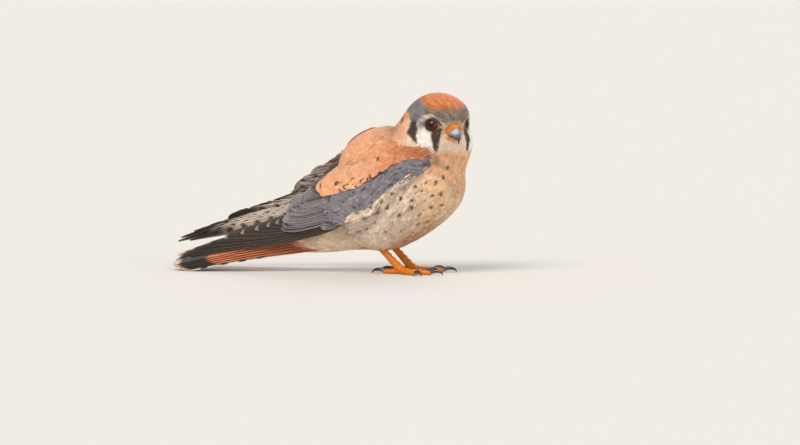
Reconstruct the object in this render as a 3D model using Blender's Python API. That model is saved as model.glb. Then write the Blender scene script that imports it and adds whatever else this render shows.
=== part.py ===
"""A male American kestrel, life size, standing on the floor with its head turned to its right.

The bird faces -Y with its left side at +X. Lengths are in millimetres until a mesh is placed, and
place() then turns them to metres and sets the origin under the middle of the bird, on the floor.
"""

import math

import bmesh
import bpy
import numpy as np
from mathutils import Matrix, Vector

MM = 0.001
GAP = 0.3  # clearance between two neighbouring nodes

# ---------------------------------------------------------------- sizes of a male
WING_CHORD = 178.0  # wrist to the tip of the longest primary
TAIL_LENGTH = 127.0
EYE_RADIUS = 5.4
LID_OPENING = 3.85
TARSUS_RADIUS = 2.2
TOE_RADIUS = 1.6
VANE = 0.5  # thickness of a feather vane
LAYER = 0.45  # rise from one feather of a tier to the next
SHINGLE = 0.2  # slope of a vane across its width, so that tiers lie like roof tiles

# ---------------------------------------------------------------- the body
HEAD_CENTRE = np.array((-3.0, -23.2, 98.5))
HEAD_TURN = 43.0  # degrees to the bird's right

MELT = 9.0  # how softly the masses run into each other
CREASE = 4.0  # the same for the smaller forms of the head


def on_head(ahead, left, up):
    """A place in the head's own frame: ahead along the bill, left, up."""
    turn = math.radians(HEAD_TURN)
    forward = np.array((-math.sin(turn), -math.cos(turn), 0.0))
    sideways = np.array((math.cos(turn), -math.sin(turn), 0.0))
    return HEAD_CENTRE + forward * ahead + sideways * left + np.array((0.0, 0.0, up))


# Rounded masses of the feathered body: centre, radii (sideways, along, through), pitch, turn, melt.
MASSES = (
    ((0.0, 8.0, 54.0), (26.0, 41.0, 30.0), 40.0, 0.0, MELT),  # trunk
    ((0.0, -13.0, 59.0), (25.5, 27.0, 25.5), 56.0, 0.0, MELT),  # breast
    ((0.0, 18.0, 74.5), (20.5, 31.0, 22.5), 20.0, 0.0, MELT),  # mantle
    ((15.0, 4.0, 46.0), (12.0, 30.0, 15.0), 38.0, 0.0, MELT),  # left flank
    ((-15.0, 4.0, 46.0), (12.0, 30.0, 15.0), 38.0, 0.0, MELT),  # right flank
    ((0.0, 7.0, 35.5), (21.0, 30.0, 16.5), 22.0, 0.0, MELT),  # belly
    ((0.0, 37.0, 31.0), (14.0, 22.0, 12.5), 14.0, 0.0, MELT),  # vent
    ((0.0, 48.0, 32.5), (13.0, 27.0, 10.0), 27.0, 0.0, MELT),  # rump
    ((-1.0, -13.0, 86.0), (20.5, 18.5, 18.0), 50.0, 20.0, MELT),  # neck
    ((2.0, -23.0, 77.0), (19.0, 17.0, 16.0), 0.0, 0.0, CREASE),  # throat
    ((-2.0, -7.0, 98.4), (15.0, 17.0, 10.2), 41.0, 20.0, CREASE),  # nape
    (on_head(-2.2, 0.0, 7.0), (18.8, 19.9, 12.4), 0.0, HEAD_TURN, CREASE),  # crown
    (on_head(-2.8, 0.0, 0.0), (19.0, 20.0, 20.6), 0.0, HEAD_TURN, MELT),  # head
    (on_head(-1.5, 0.0, -11.0), (23.0, 18.5, 12.0), 0.0, HEAD_TURN, MELT),  # cheeks
    (on_head(7.6, 7.9, 6.3), (5.2, 7.6, 2.9), 6.0, HEAD_TURN - 24.0, CREASE),  # left brow
    (on_head(7.6, -7.9, 6.3), (5.2, 7.6, 2.9), 6.0, HEAD_TURN + 24.0, CREASE),  # right brow
    (on_head(11.0, 0.0, -9.5), (7.5, 7.0, 4.5), 0.0, HEAD_TURN, CREASE),  # chin
)
SPINE = ((0.0, 42.0, 30.0), (0.0, 12.0, 50.0), (-1.0, -10.0, 76.0), (-3.0, -20.0, 102.0))
TAIL_CAP = 0.13  # share of the rings that close each end of the body
CROWN_CAP = 0.16

NECK_CUT = ((0.0, -16.0, 87.0), (0.0, -0.397, 0.918))  # torso below, neck above
HEAD_CUT = ((-2.0, -18.0, 90.5), (-0.10, -0.30, 0.95))  # neck below, head above


def unit(vector):
    vector = np.asarray(vector, float)
    return vector / np.linalg.norm(vector)


def mass_axes(pitch, turn):
    """Rows: sideways, along (forwards and up by the pitch), through."""
    p, t = math.radians(pitch), math.radians(turn)
    side = (math.cos(t), -math.sin(t), 0.0)
    ahead = (-math.sin(t), -math.cos(t), 0.0)
    along = (ahead[0] * math.cos(p), ahead[1] * math.cos(p), math.sin(p))
    return np.array((side, along, np.cross(side, along)))


def body_distance(points):
    """Signed distance, near enough, from the melted masses: negative inside."""
    total = None
    for centre, radii, pitch, turn, melt in MASSES:
        local = (points - np.asarray(centre)) @ mass_axes(pitch, turn).T
        scaled = np.linalg.norm(local / radii, axis=-1)
        slope = np.linalg.norm(local / np.square(radii), axis=-1) + 1e-9
        distance = scaled * (scaled - 1) / slope
        if total is None:
            total = distance
            continue
        blend = np.clip(melt - np.abs(total - distance), 0, None) / melt
        total = np.minimum(total, distance) - blend**2 * melt / 4
    return total


def reach(origins, directions, swell):
    """How far each ray runs before it leaves the body, grown by swell: steps, then bisection."""
    step, far = 1.5, 75.0
    low = np.zeros(len(origins))
    found = np.zeros(len(origins), bool)
    for s in np.arange(step, far, step):
        outside = body_distance(origins + directions * s) > swell
        low = np.where(found | outside, low, s)
        found |= outside
    high = low + step
    for _ in range(24):
        mid = (low + high) / 2
        outside = body_distance(origins + directions * mid[:, None]) > swell
        high = np.where(outside, mid, high)
        low = np.where(outside, low, mid)
    return low


def body_surface(along, around, swell=0.0):
    """Rings round the spine, from the tail root (0) to the crown (1), with a rounded cap at each end."""
    knots = np.linspace(0, 1, len(SPINE))
    curve = np.polyfit(knots, np.array(SPINE), len(SPINE) - 1)
    slope = curve[:-1] * np.arange(len(SPINE) - 1, 0, -1)[:, None]
    t = np.clip((along - TAIL_CAP) / (1 - TAIL_CAP - CROWN_CAP), 0, 1)
    powers = t[:, None] ** np.arange(len(SPINE) - 1, -1, -1)
    origins = powers @ curve
    tangent = powers[:, 1:] @ slope
    tangent /= np.linalg.norm(tangent, axis=1)[:, None]
    side = np.array((1.0, 0.0, 0.0)) - tangent * tangent[:, :1]
    side /= np.linalg.norm(side, axis=1)[:, None]
    through = np.cross(tangent, side)
    ring = side * np.cos(around)[:, None] + through * np.sin(around)[:, None]
    tail_lean = np.clip(1 - along / TAIL_CAP, 0, 1) * math.pi / 2
    crown_lean = np.clip(1 - (1 - along) / CROWN_CAP, 0, 1) * math.pi / 2
    lean = (crown_lean - tail_lean)[:, None]
    directions = ring * np.cos(lean) + tangent * np.sin(lean)
    return origins + directions * reach(origins, directions, swell)[:, None]


# ---------------------------------------------------------------- making meshes
def new_object(name, bm):
    mesh = bpy.data.meshes.new(name)
    bm.to_mesh(mesh)
    bm.free()
    obj = bpy.data.objects.new(name, mesh)
    bpy.context.scene.collection.objects.link(obj)
    return obj


def face_outwards(bm):
    if bm.calc_volume(signed=True) < 0:
        bmesh.ops.reverse_faces(bm, faces=bm.faces[:])


def move_vertices(bm, points):
    for vertex, point in zip(bm.verts, points):
        vertex.co = point


def wrapped(name, around_count, along_count, surface):
    """A closed form: each vertex of a sphere is read as (along, around) and moved to surface()."""
    bm = bmesh.new()
    bmesh.ops.create_uvsphere(bm, u_segments=around_count, v_segments=along_count, radius=1.0)
    sphere = np.array([v.co for v in bm.verts])
    along = np.arccos(np.clip(sphere[:, 2], -1, 1)) / math.pi
    around = np.arctan2(sphere[:, 1], sphere[:, 0])
    move_vertices(bm, surface(along, around))
    bmesh.ops.triangulate(bm, faces=bm.faces[:])
    face_outwards(bm)
    return new_object(name, bm)


def slab(name, columns, rows, surface):
    """A thin closed form: a grid with two faces, read as (across -1 to 1, along 0 to 1, face 0 or 1)."""
    bm = bmesh.new()
    bmesh.ops.create_grid(bm, x_segments=columns, y_segments=rows, size=1.0)
    bmesh.ops.triangulate(bm, faces=bm.faces[:])
    made = bmesh.ops.extrude_face_region(bm, geom=bm.faces[:], use_keep_orig=True)
    for element in made["geom"]:
        if isinstance(element, bmesh.types.BMVert):
            element.co.z = 1.0
    grid = np.array([v.co for v in bm.verts])
    move_vertices(bm, surface(grid[:, 0], (grid[:, 1] + 1) / 2, grid[:, 2]))
    bmesh.ops.recalc_face_normals(bm, faces=bm.faces[:])
    face_outwards(bm)
    return new_object(name, bm)


def horn(name, path, widths, heights, side, around_count=10, along_count=10, swell=0.0):
    """A tapered bent form along a path: toes, claws, bills. side is the axis that widths are across."""
    knots = np.linspace(0, 1, len(path))
    fit = np.polyfit(knots, np.array(path, float), len(path) - 1)
    side = unit(side)

    def surface(along, around):
        ease = np.clip((along - 0.04) / 0.92, 0, 1)
        powers = ease[:, None] ** np.arange(len(path) - 1, -1, -1)
        centre = powers @ fit
        tangent = powers[:, 1:] @ (fit[:-1] * np.arange(len(path) - 1, 0, -1)[:, None])
        tangent /= np.linalg.norm(tangent, axis=1)[:, None]
        up = np.cross(tangent, side)
        up /= np.linalg.norm(up, axis=1)[:, None]
        width = np.interp(ease, np.linspace(0, 1, len(widths)), widths) + swell
        height = np.interp(ease, np.linspace(0, 1, len(heights)), heights) + swell
        ends = np.minimum(along, 1 - along) < 1e-6
        scale = np.where(ends, 0.0, 1.0)
        return (
            centre
            + side * (width * scale * np.cos(around))[:, None]
            + up * (height * scale * np.sin(around))[:, None]
        )

    return wrapped(name, around_count, along_count, surface)


def ellipsoid(name, centre, radii, axes=None, around_count=16, along_count=10):
    axes = np.eye(3) if axes is None else np.asarray(axes)

    def surface(along, around):
        polar = along * math.pi
        ring = np.sin(polar)
        local = np.stack((ring * np.cos(around), ring * np.sin(around), np.cos(polar)), 1)
        return np.asarray(centre) + (local * radii) @ axes

    return wrapped(name, around_count, along_count, surface)


def cut_at(obj, point, normal, keep_above=True):
    """Cuts obj on a plane, drops one side and closes the cut with a flat face."""
    bm = bmesh.new()
    bm.from_mesh(obj.data)
    made = bmesh.ops.bisect_plane(
        bm,
        geom=bm.verts[:] + bm.edges[:] + bm.faces[:],
        dist=1e-5,
        plane_co=Vector(point),
        plane_no=Vector(normal),
        clear_inner=keep_above,
        clear_outer=not keep_above,
    )
    rim = [e for e in made["geom_cut"] if isinstance(e, bmesh.types.BMEdge)]
    if rim:
        bmesh.ops.holes_fill(bm, edges=rim, sides=0)
        bmesh.ops.triangulate(bm, faces=bm.faces[:])
    bmesh.ops.recalc_face_normals(bm, faces=bm.faces[:])
    bm.to_mesh(obj.data)
    bm.free()
    return obj


def apply_boolean(obj, operation, others, solver="MANIFOLD"):
    """One Boolean of obj with several closed meshes, applied; the others are then removed."""
    group = bpy.data.collections.new("operands")
    for other in others:
        for owner in list(other.users_collection):
            owner.objects.unlink(other)
        group.objects.link(other)
    bpy.context.scene.collection.children.link(group)
    boolean = obj.modifiers.new(operation.lower(), "BOOLEAN")
    boolean.operation = operation
    boolean.operand_type = "COLLECTION"
    boolean.collection = group
    boolean.solver = solver
    bpy.context.view_layer.update()
    evaluated = obj.evaluated_get(bpy.context.evaluated_depsgraph_get())
    mesh = bpy.data.meshes.new_from_object(evaluated)
    obj.modifiers.clear()
    obj.data = mesh
    for other in others:
        bpy.data.objects.remove(other)
    bpy.data.collections.remove(group)
    return largest_piece(obj)


def largest_piece(obj):
    """Keeps only the closed surface that has the most volume."""
    bm = bmesh.new()
    bm.from_mesh(obj.data)
    bmesh.ops.triangulate(bm, faces=bm.faces[:])
    left = set(bm.verts)
    shells = []
    while left:
        seed = left.pop()
        shell, edge_of = {seed}, [seed]
        while edge_of:
            for edge in edge_of.pop().link_edges:
                for vertex in edge.verts:
                    if vertex not in shell:
                        shell.add(vertex)
                        edge_of.append(vertex)
        left -= shell
        shells.append(shell)

    def extent(shell):
        points = np.array([v.co for v in shell])
        return float(np.prod(points.max(0) - points.min(0) + 1e-6))

    shells.sort(key=extent)
    for shell in shells[:-1]:
        bmesh.ops.delete(bm, geom=list(shell), context="VERTS")
    bm.to_mesh(obj.data)
    bm.free()
    return obj


def paint(obj, colour, roughness=0.8):
    material = bpy.data.materials.get(colour[0]) or bpy.data.materials.new(colour[0])
    material.use_nodes = True
    shader = material.node_tree.nodes["Principled BSDF"]
    shader.inputs["Base Color"].default_value = (*colour[1], 1.0)
    shader.inputs["Roughness"].default_value = roughness
    obj.data.materials.clear()
    obj.data.materials.append(material)
    return obj


RUFOUS = ("rufous", (0.72, 0.30, 0.13))
SLATE = ("slate", (0.22, 0.22, 0.27))
BUFF = ("buff", (0.75, 0.52, 0.33))
ORANGE_SKIN = ("orange_skin", (0.85, 0.32, 0.02))
HORN_GREY = ("horn_grey", (0.16, 0.16, 0.19))
EYE_BROWN = ("eye_brown", (0.02, 0.012, 0.01))


def body(name, around_count=26, along_count=33, swell=0.0):
    return wrapped(
        name, around_count, along_count, lambda along, around: body_surface(along, around, swell)
    )


def body_space():
    """The body grown by the gap: what neighbours are cut back from."""
    return body("body_space", swell=GAP)


# ---------------------------------------------------------------- head, neck, torso
def flesh():
    half = GAP / 2
    torso = body("torso")
    neck = body("neck")
    head = body("head")
    throat_place, throat_way = np.array(NECK_CUT[0]), unit(NECK_CUT[1])
    nape_place, nape_way = np.array(HEAD_CUT[0]), unit(HEAD_CUT[1])
    cut_at(torso, throat_place - throat_way * half, throat_way, keep_above=False)
    cut_at(neck, throat_place + throat_way * half, throat_way)
    cut_at(neck, nape_place - nape_way * half, nape_way, keep_above=False)
    cut_at(head, nape_place + nape_way * half, nape_way)
    paint(torso, BUFF)
    paint(neck, BUFF)
    paint(head, SLATE)
    return torso, neck, head


def head_way(ahead, left, up):
    return unit(on_head(ahead, left, up) - HEAD_CENTRE)


EYE_PLACE = (9.4, 10.7, 1.3)
EYE_LOOKS = (0.66, 0.75, 0.0)


def eyes(head):
    """Eyeballs in sockets, with a lid ring raised round each opening."""
    cutters = []
    rings = []
    for name, hand in (("left", 1), ("right", -1)):
        ahead, left, up = EYE_PLACE
        centre = on_head(ahead, hand * left, up)
        looks = head_way(EYE_LOOKS[0], hand * EYE_LOOKS[1], EYE_LOOKS[2])
        frame = Vector(looks).to_track_quat("Z", "Y").to_matrix()
        axes = np.array(frame).T
        eye = ellipsoid("eye_" + name, centre, (EYE_RADIUS,) * 3, axes, 14, 10)
        paint(eye, EYE_BROWN, 0.1)
        socket = EYE_RADIUS + GAP
        cutters.append(ellipsoid("socket", centre, (socket,) * 3, axes, 14, 10))
        path = [centre + looks * s for s in (0.0, 14.0)]
        opening = horn(
            "opening", path, (LID_OPENING,) * 2, (LID_OPENING,) * 2, axes[0], 14, 4
        )
        cutters.append(opening)
        lid = 0.6
        out = math.sqrt((EYE_RADIUS + GAP + lid) ** 2 - (LID_OPENING + lid / 2) ** 2)
        bm = bmesh.new()
        turned = Matrix.Translation(Vector(centre + looks * out)) @ frame.to_4x4()
        circle = bmesh.ops.create_circle(bm, cap_ends=False, segments=5, radius=lid)
        start = Matrix.Translation((LID_OPENING + lid / 2, 0, 0)) @ Matrix.Rotation(
            math.pi / 2, 4, "X"
        )
        bmesh.ops.transform(bm, matrix=start, verts=circle["verts"])
        bmesh.ops.spin(
            bm,
            geom=bm.verts[:] + bm.edges[:],
            cent=(0, 0, 0),
            axis=(0, 0, 1),
            angle=2 * math.pi,
            steps=14,
            use_merge=True,
        )
        bmesh.ops.remove_doubles(bm, verts=bm.verts[:], dist=1e-4)
        bmesh.ops.transform(bm, matrix=turned, verts=bm.verts[:])
        bmesh.ops.recalc_face_normals(bm, faces=bm.faces[:])
        bmesh.ops.triangulate(bm, faces=bm.faces[:])
        rings.append(new_object("lid", bm))
    apply_boolean(head, "DIFFERENCE", cutters)
    apply_boolean(head, "UNION", rings)


BILL_JOIN = (19.5, -2.6)  # where the orange cere ends and the grey bill starts: ahead, up
JOIN_SLANT = 0.66  # how far the joint runs back for each step down


def bill():
    side = head_way(0, 1, 0)
    ahead = head_way(1, 0, -JOIN_SLANT)
    join = on_head(BILL_JOIN[0], 0.0, BILL_JOIN[1])

    def at(*steps):
        return [on_head(a, 0, u) for a, u in steps]

    upper_path = at((15.5, -2.6), (20.4, -2.6), (24.2, -5.2), (24.5, -10.6))
    upper_sizes = ((5.0, 4.7, 3.6, 2.1, 0.3), (3.8, 3.7, 3.0, 2.0, 0.4))
    upper = horn("bill_upper", upper_path, *upper_sizes, side, 14, 14)
    cut_at(upper, join + ahead * GAP / 2, ahead)
    lower_path = at((13.0, -7.3), (18.0, -7.8), (22.4, -8.4))
    lower = horn("bill_lower", lower_path, (4.4, 4.0, 3.4, 1.0), (1.7, 1.7, 1.4, 0.6), side, 12, 8)
    upper_space = horn("upper_space", upper_path, *upper_sizes, side, 14, 14, swell=GAP)
    cere = horn("cere", at((12.0, -2.2), (20.5, -2.6)), (5.4, 5.2, 4.9), (4.5, 4.4, 4.1), side, 16, 8)
    gapes = [
        ellipsoid("gape", on_head(16.0, hand * 4.9, -6.0), (1.4, 3.8, 1.3),
                  mass_axes(-25, HEAD_TURN), 10, 8)
        for hand in (-1, 1)
    ]
    apply_boolean(cere, "UNION", gapes)
    cut_at(cere, join - ahead * GAP / 2, ahead, keep_above=False)
    nostrils = [
        horn("nostril", [on_head(17.4, hand * 2.8, -0.6), on_head(18.4, hand * 7.5, -0.4)],
             (0.8, 0.8), (0.8, 0.8), (0, 0, 1), 8, 4)
        for hand in (-1, 1)
    ]
    lower_space = horn("lower_space", lower_path, (4.7, 4.3, 3.7, 1.3), (2.0, 2.0, 1.7, 0.9),
                       side, 12, 8)
    apply_boolean(cere, "DIFFERENCE", [body_space(), lower_space, *nostrils])
    apply_boolean(lower, "DIFFERENCE", [body_space(), upper_space])
    apply_boolean(upper, "DIFFERENCE", [body_space()])
    paint(upper, HORN_GREY, 0.3)
    paint(lower, HORN_GREY, 0.3)
    paint(cere, ORANGE_SKIN, 0.5)


# ---------------------------------------------------------------- legs
FEET = {"right": ((-11.0, 2.0), -4.0), "left": ((11.0, 1.0), 6.0)}  # place, turn in degrees
TOES = (  # name, direction from straight ahead, length, claw length
    ("inner", 28.0, 16.0, 8.0),
    ("middle", -2.0, 22.5, 8.0),
    ("outer", -34.0, 17.5, 7.0),
    ("hind", 176.0, 12.0, 8.5),
)
HEEL_RISE = (26.0, 27.0)  # how far back and up the heel lies from the foot
TROUSER_END = 0.56  # share of the tarsus that shows below the leg feathers


def legs():
    for name, (place, turn) in FEET.items():
        hand = 1 if name == "left" else -1
        x, y = place
        foot = np.array((x, y, 3.6))
        heel = np.array((x + hand * 1.5, y + HEEL_RISE[0], 3.6 + HEEL_RISE[1]))
        pieces = []
        for toe, angle, length, claw in TOES:
            a = math.radians(turn - hand * angle)
            way = np.array((math.sin(a), -math.cos(a), 0.0))
            side = np.array((math.cos(a), math.sin(a), 0.0))
            start = np.array((x, y, 2.6)) - way * 1.0
            middle = np.array((x, y, TOE_RADIUS + 0.1)) + way * length * 0.45
            end = np.array((x, y, TOE_RADIUS - 0.25)) + way * length
            thick = TOE_RADIUS * (0.85 if toe == "inner" else 1.0)
            pieces.append(
                horn("toe", [start, middle, end],
                     (thick * 1.15, thick, thick * 1.12, thick * 0.92, thick * 1.1, thick * 0.8),
                     (thick * 1.2, thick, thick * 1.1, thick * 0.95, thick * 1.05, thick * 0.8),
                     side, 8, 7)
            )
            base = end + way * (GAP + 0.1) + (0.0, 0.0, 0.55)
            claw_path = [
                base,
                base + way * claw * 0.45 + (0, 0, 0.75),
                base + way * claw * 0.85 + (0, 0, 0.1),
                base + way * claw * 0.98 + (0, 0, -1.75),
            ]
            claw_name = f"claw_{name}_{toe}"
            paint(horn(claw_name, claw_path, (1.0, 0.95, 0.6, 0.15), (1.1, 1.0, 0.65, 0.15),
                       side, 8, 7), HORN_GREY, 0.25)
        shin = unit(heel - foot)
        visible = foot + (heel - foot) * TROUSER_END
        ankle = ellipsoid("ankle", (x, y + 0.5, 3.1), (3.1, 3.4, 2.6), None, 8, 6)
        tarsus = horn("leg_" + name, [foot - shin * 1.0, foot + (heel - foot) * 0.7],
                      (2.5, TARSUS_RADIUS, TARSUS_RADIUS * 0.92, TARSUS_RADIUS),
                      (2.6, TARSUS_RADIUS * 1.1, TARSUS_RADIUS, TARSUS_RADIUS), (1, 0, 0), 8, 8)
        apply_boolean(tarsus, "UNION", [ankle, *pieces])
        knee = np.array((hand * 12.0, 8.0, 38.0))
        thigh = np.array((hand * 14.5, 19.0, 26.0))
        trouser_path = [knee, thigh, visible]
        trousers = horn("thigh_" + name, trouser_path, (9.0, 10.5, 9.0, 3.9), (9.0, 10.5, 9.0, 4.0),
                        (1, 0, 0), 16, 10)
        trouser_space = horn("thigh_space", trouser_path, (9.0, 10.5, 9.0, 3.9), (9.0, 10.5, 9.0, 4.0),
                             (1, 0, 0), 16, 10, swell=GAP)
        apply_boolean(tarsus, "DIFFERENCE", [body_space(), trouser_space])
        apply_boolean(trousers, "DIFFERENCE", [body_space()])
        cut_at(tarsus, (0, 0, 0), (0, 0, 1))
        paint(tarsus, ORANGE_SKIN, 0.45)
        paint(trousers, BUFF)


# ---------------------------------------------------------------- feathers
def vane_outline(u, pointed):
    """Half width of a vane along its length: narrow quill, full web, rounded or pointed tip."""
    web = 0.42 + 0.58 * np.clip(u / 0.28, 0, 1) ** 1.2
    if pointed:
        return web * (1 - 0.86 * np.clip((u - 0.42) / 0.58, 0, 1) ** 1.7)
    return web * np.sqrt(1 - 0.96 * np.clip((u - 0.78) / 0.22, 0, 1) ** 2)


def feather(surface, root, tip, width, lift, sunk, pointed=False, outer=0.42, rows=4, columns=1,
            bow=0.0):
    """A vane on a wing or tail surface(a, b, h), from root to tip in (a, b), at height lift.

    Its root is sunk to the height sunk, and outer is the share of the web on the leading side."""
    root, tip = np.array(root, float), np.array(tip, float)

    def shape(across, along, face):
        u = along
        way = (tip - root) / np.linalg.norm(tip - root)
        cross = np.array((-way[1], way[0]))
        half = width * vane_outline(u, pointed)
        offset = np.where(across < 0, across * half * outer, across * half * (1 - outer))
        offset = np.where(across == 0, 0.0, offset)
        centre = root + (tip - root) * u[:, None]
        centre = centre + cross * (bow * np.sin(math.pi * u))[:, None]
        place = centre + cross * offset[:, None]
        settle = np.clip(u / 0.3, 0, 1) ** 1.5
        height = sunk + (lift - sunk) * settle - SHINGLE * offset
        thin = VANE * (1 - 0.45 * np.clip((u - 0.8) / 0.2, 0, 1))
        return surface(place[:, 0], place[:, 1], height + (face - 0.5) * thin)

    return slab("vane", columns, rows, shape)


# ---------------------------------------------------------------- wings
WINGS = {  # wrist and wing tip; both wings are built on the right side, and the left one is mirrored
    "right": ((-25.0, -11.0, 63.0), (-16.0, 152.0, 6.5)),
    "left": ((-24.5, -6.0, 64.0), (-11.0, 166.0, 14.5)),
}
WING_OUT = (-0.95, 0.0, 0.30)
WING_WRAP = 50.0  # how round the wing lies over the back
WING_BULGE = 3.0  # how far its middle stands off a straight line
WING_PAD = ((15.0, 13.5, 3.0), (30.0, 15.0, 5.6))  # centre and radii in (a, b, h)
SHOULDER_PAD = ((14.0, 26.0, 2.0), (32.0, 13.0, 8.0))  # the same, for the scapulars
BREADTH = {"right": 0.84, "left": 0.92}  # how far each wing's feathers spread over the back
WING_SAG = {"right": 15.0, "left": 8.0}  # how far the middle of the lower edge hangs over the flank
SAG_TUCK = 0.3  # share of the sag by which it also moves in
MIDLINE = 0.25  # each wing keeps this far to its own side


def smooth(value, start, end):
    """0 below start, 1 above end, and an even slope that eases in and out between them."""
    t = np.clip((value - start) / (end - start), 0, 1)
    return t * t * (3 - 2 * t)


def sheet(start, end, outward, wrap, bulge, breadth, sag):
    """A surface to lay feathers on: a runs from start to end, b round the back, h outwards.

    Its lower half sags most a quarter of the way along, and comes back to the line at the tip."""
    start, end, outward = np.array(start), np.array(end), np.array(outward)
    along = unit(end - start)
    outward = unit(outward - along * (outward @ along))
    dorsal = np.cross(outward, along)
    dorsal = dorsal if dorsal[2] > 0 else -dorsal

    def surface(a, b, h):
        hang = sag * smooth(a, -6.0, 42.0) * (1 - smooth(a, 60.0, WING_CHORD))
        hang = hang * (1 - 0.8 * smooth(b, 22.0, 44.0))
        turn = (b - hang) * breadth / wrap
        out = wrap * (np.cos(turn) - 1) + np.cos(turn) * h - SAG_TUCK * hang
        out = out + bulge * np.sin(np.clip(a / 115.0, 0, 1) * math.pi)
        up = wrap * np.sin(turn) + np.sin(turn) * h
        return start + np.outer(a, along) + np.outer(out, outward) + np.outer(up, dorsal)

    return surface


def pad(name, surface, centre, radii):
    """The flesh and down that a group of feathers is rooted in."""

    def shape(along, around):
        polar = along * math.pi
        ring = np.sin(polar)
        a = centre[0] - radii[0] * np.cos(polar)
        b = centre[1] + radii[1] * ring * np.cos(around)
        return surface(a, b, centre[2] + radii[2] * ring * np.sin(around))

    return wrapped(name, 14, 8, shape)


PRIMARY_TIPS = (  # reach along the wing and distance from its leading edge, P10 first
    (0.955, 0.5), (1.0, 2.0), (0.985, 4.0), (0.93, 6.0), (0.86, 7.8),
    (0.79, 9.4), (0.72, 10.8), (0.66, 12.0), (0.61, 13.0),
)
TIERS = (  # count, first root (a, b), step, first tip (a, b), step, width, lowest height, root height
    (5, (14.0, 9.0), (4.0, 2.6), (97.0, 9.0), (-1.4, 3.0), 13.0, 4.6, 3.6),  # secondaries
    (3, (28.0, 21.0), (2.0, 2.0), (92.0, 22.5), (-7.0, 2.6), 14.0, 6.9, 4.6),  # tertials
    (4, (22.0, 3.0), (-2.0, 1.6), (72.0, 2.5), (-3.2, 2.3), 9.0, 4.8, 3.6),  # primary coverts
    (5, (16.0, 7.0), (1.5, 3.6), (61.0, 7.0), (1.2, 4.2), 13.0, 7.4, 5.4),  # greater coverts
    (3, (8.0, 6.0), (1.5, 6.0), (42.0, 6.0), (1.4, 6.6), 15.0, 8.8, 6.2),  # median coverts
    (1, (6.0, 3.0), (0.0, 0.0), (45.0, 1.0), (0.0, 0.0), 8.0, 6.6, 4.0),  # alula
)
SCAPULARS = (
    (3, (24.0, 21.5), (-4.0, 6.0), (77.0, 25.0), (-8.0, 6.5), 15.0, 10.2, 6.6),
    (3, (4.0, 20.5), (-2.0, 7.0), (50.0, 21.5), (-5.0, 8.0), 16.0, 11.4, 6.0),
)


def tier(surface, count, root, root_step, tip, tip_step, width, lowest, sunk):
    return [
        feather(surface, np.add(root, np.multiply(root_step, i)),
                np.add(tip, np.multiply(tip_step, i)), width, lowest + LAYER * i, sunk, rows=3)
        for i in range(count)
    ]


def wing(side):
    surface = sheet(*WINGS[side], WING_OUT, WING_WRAP, WING_BULGE, BREADTH[side], WING_SAG[side])
    obj = pad("wing_" + side, surface, *WING_PAD)
    pieces = [pad("shoulder", surface, *SHOULDER_PAD)]
    for i, (share, edge) in enumerate(PRIMARY_TIPS):
        pieces.append(feather(surface, (36.0 - 3.2 * i, 3.0 + 0.8 * i), (WING_CHORD * share, edge),
                              11.5, 0.4 + LAYER * i, 2.5, pointed=i < 5, outer=0.3, bow=-1.0))
    for sizes in TIERS + SCAPULARS:
        pieces += tier(surface, *sizes)
    apply_boolean(obj, "UNION", pieces)
    if side == "left":
        obj.data.transform(Matrix.Scale(-1, 4, (1, 0, 0)))
        obj.data.flip_normals()
    apply_boolean(obj, "DIFFERENCE", [body_space()])
    hand = 1 if side == "left" else -1
    cut_at(obj, (hand * MIDLINE, 0, 0), (hand, 0, 0))
    return paint(largest_piece(obj), SLATE)


# ---------------------------------------------------------------- tail
TAIL_ROOT = np.array((0.0, 34.0, 25.0))
TAIL_TIP = np.array((-10.0, 158.0, 7.0))
TAIL_ROLL = 14.0  # degrees, right edge down
FAN_START, FAN_STEP = 3.8, 0.85  # degrees from the midline to the inmost feather, and between feathers
RECTRIX_WIDTH = 13.0


def tail_surface():
    along = unit(TAIL_TIP - TAIL_ROOT)
    roll = math.radians(TAIL_ROLL)
    left = unit(np.cross(along, (0.0, 0.0, 1.0)))
    left = left if left[0] > 0 else -left
    up = np.cross(left, along)
    up = up if up[2] > 0 else -up
    left, up = left * math.cos(roll) + up * math.sin(roll), up * math.cos(roll) - left * math.sin(roll)

    def surface(a, b, h):
        droop = 0.0009 * np.square(a - 60.0) - 3.2
        return TAIL_ROOT + np.outer(a, along) + np.outer(b, left) + np.outer(h - droop * 0.6, up)

    return surface


def tail():
    surface = tail_surface()

    def coverts(along, around):
        polar = along * math.pi
        ring = np.sin(polar) ** 0.8
        a = 18.0 - 34.0 * np.cos(polar)
        taper = 1 - 0.45 * np.clip(a / 52.0, 0, 1)
        return surface(a, 12.5 * taper * ring * np.cos(around), -1.0 + 8.5 * taper * ring * np.sin(around))

    obj = wrapped("tail", 14, 10, coverts)
    vanes = []
    for k in range(6):
        for hand in (1, -1):
            angle = math.radians(hand * (FAN_START + FAN_STEP * k))
            length = TAIL_LENGTH - 0.35 * k * k
            tip = (length * math.cos(angle), length * math.sin(angle))
            root = (6.0, 6.0 * math.tan(angle))
            near = -0.8 * (2 * k + (hand < 0))
            far = -0.8 * (k + 0.5 * (hand < 0))
            vanes.append(rectrix(surface, root, tip, near + 3.0, far, hand))
    apply_boolean(obj, "UNION", vanes)
    apply_boolean(obj, "DIFFERENCE", [body_space()])
    cut_at(obj, (0, 0, 0), (0, 0, 1))
    return paint(obj, RUFOUS)


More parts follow.
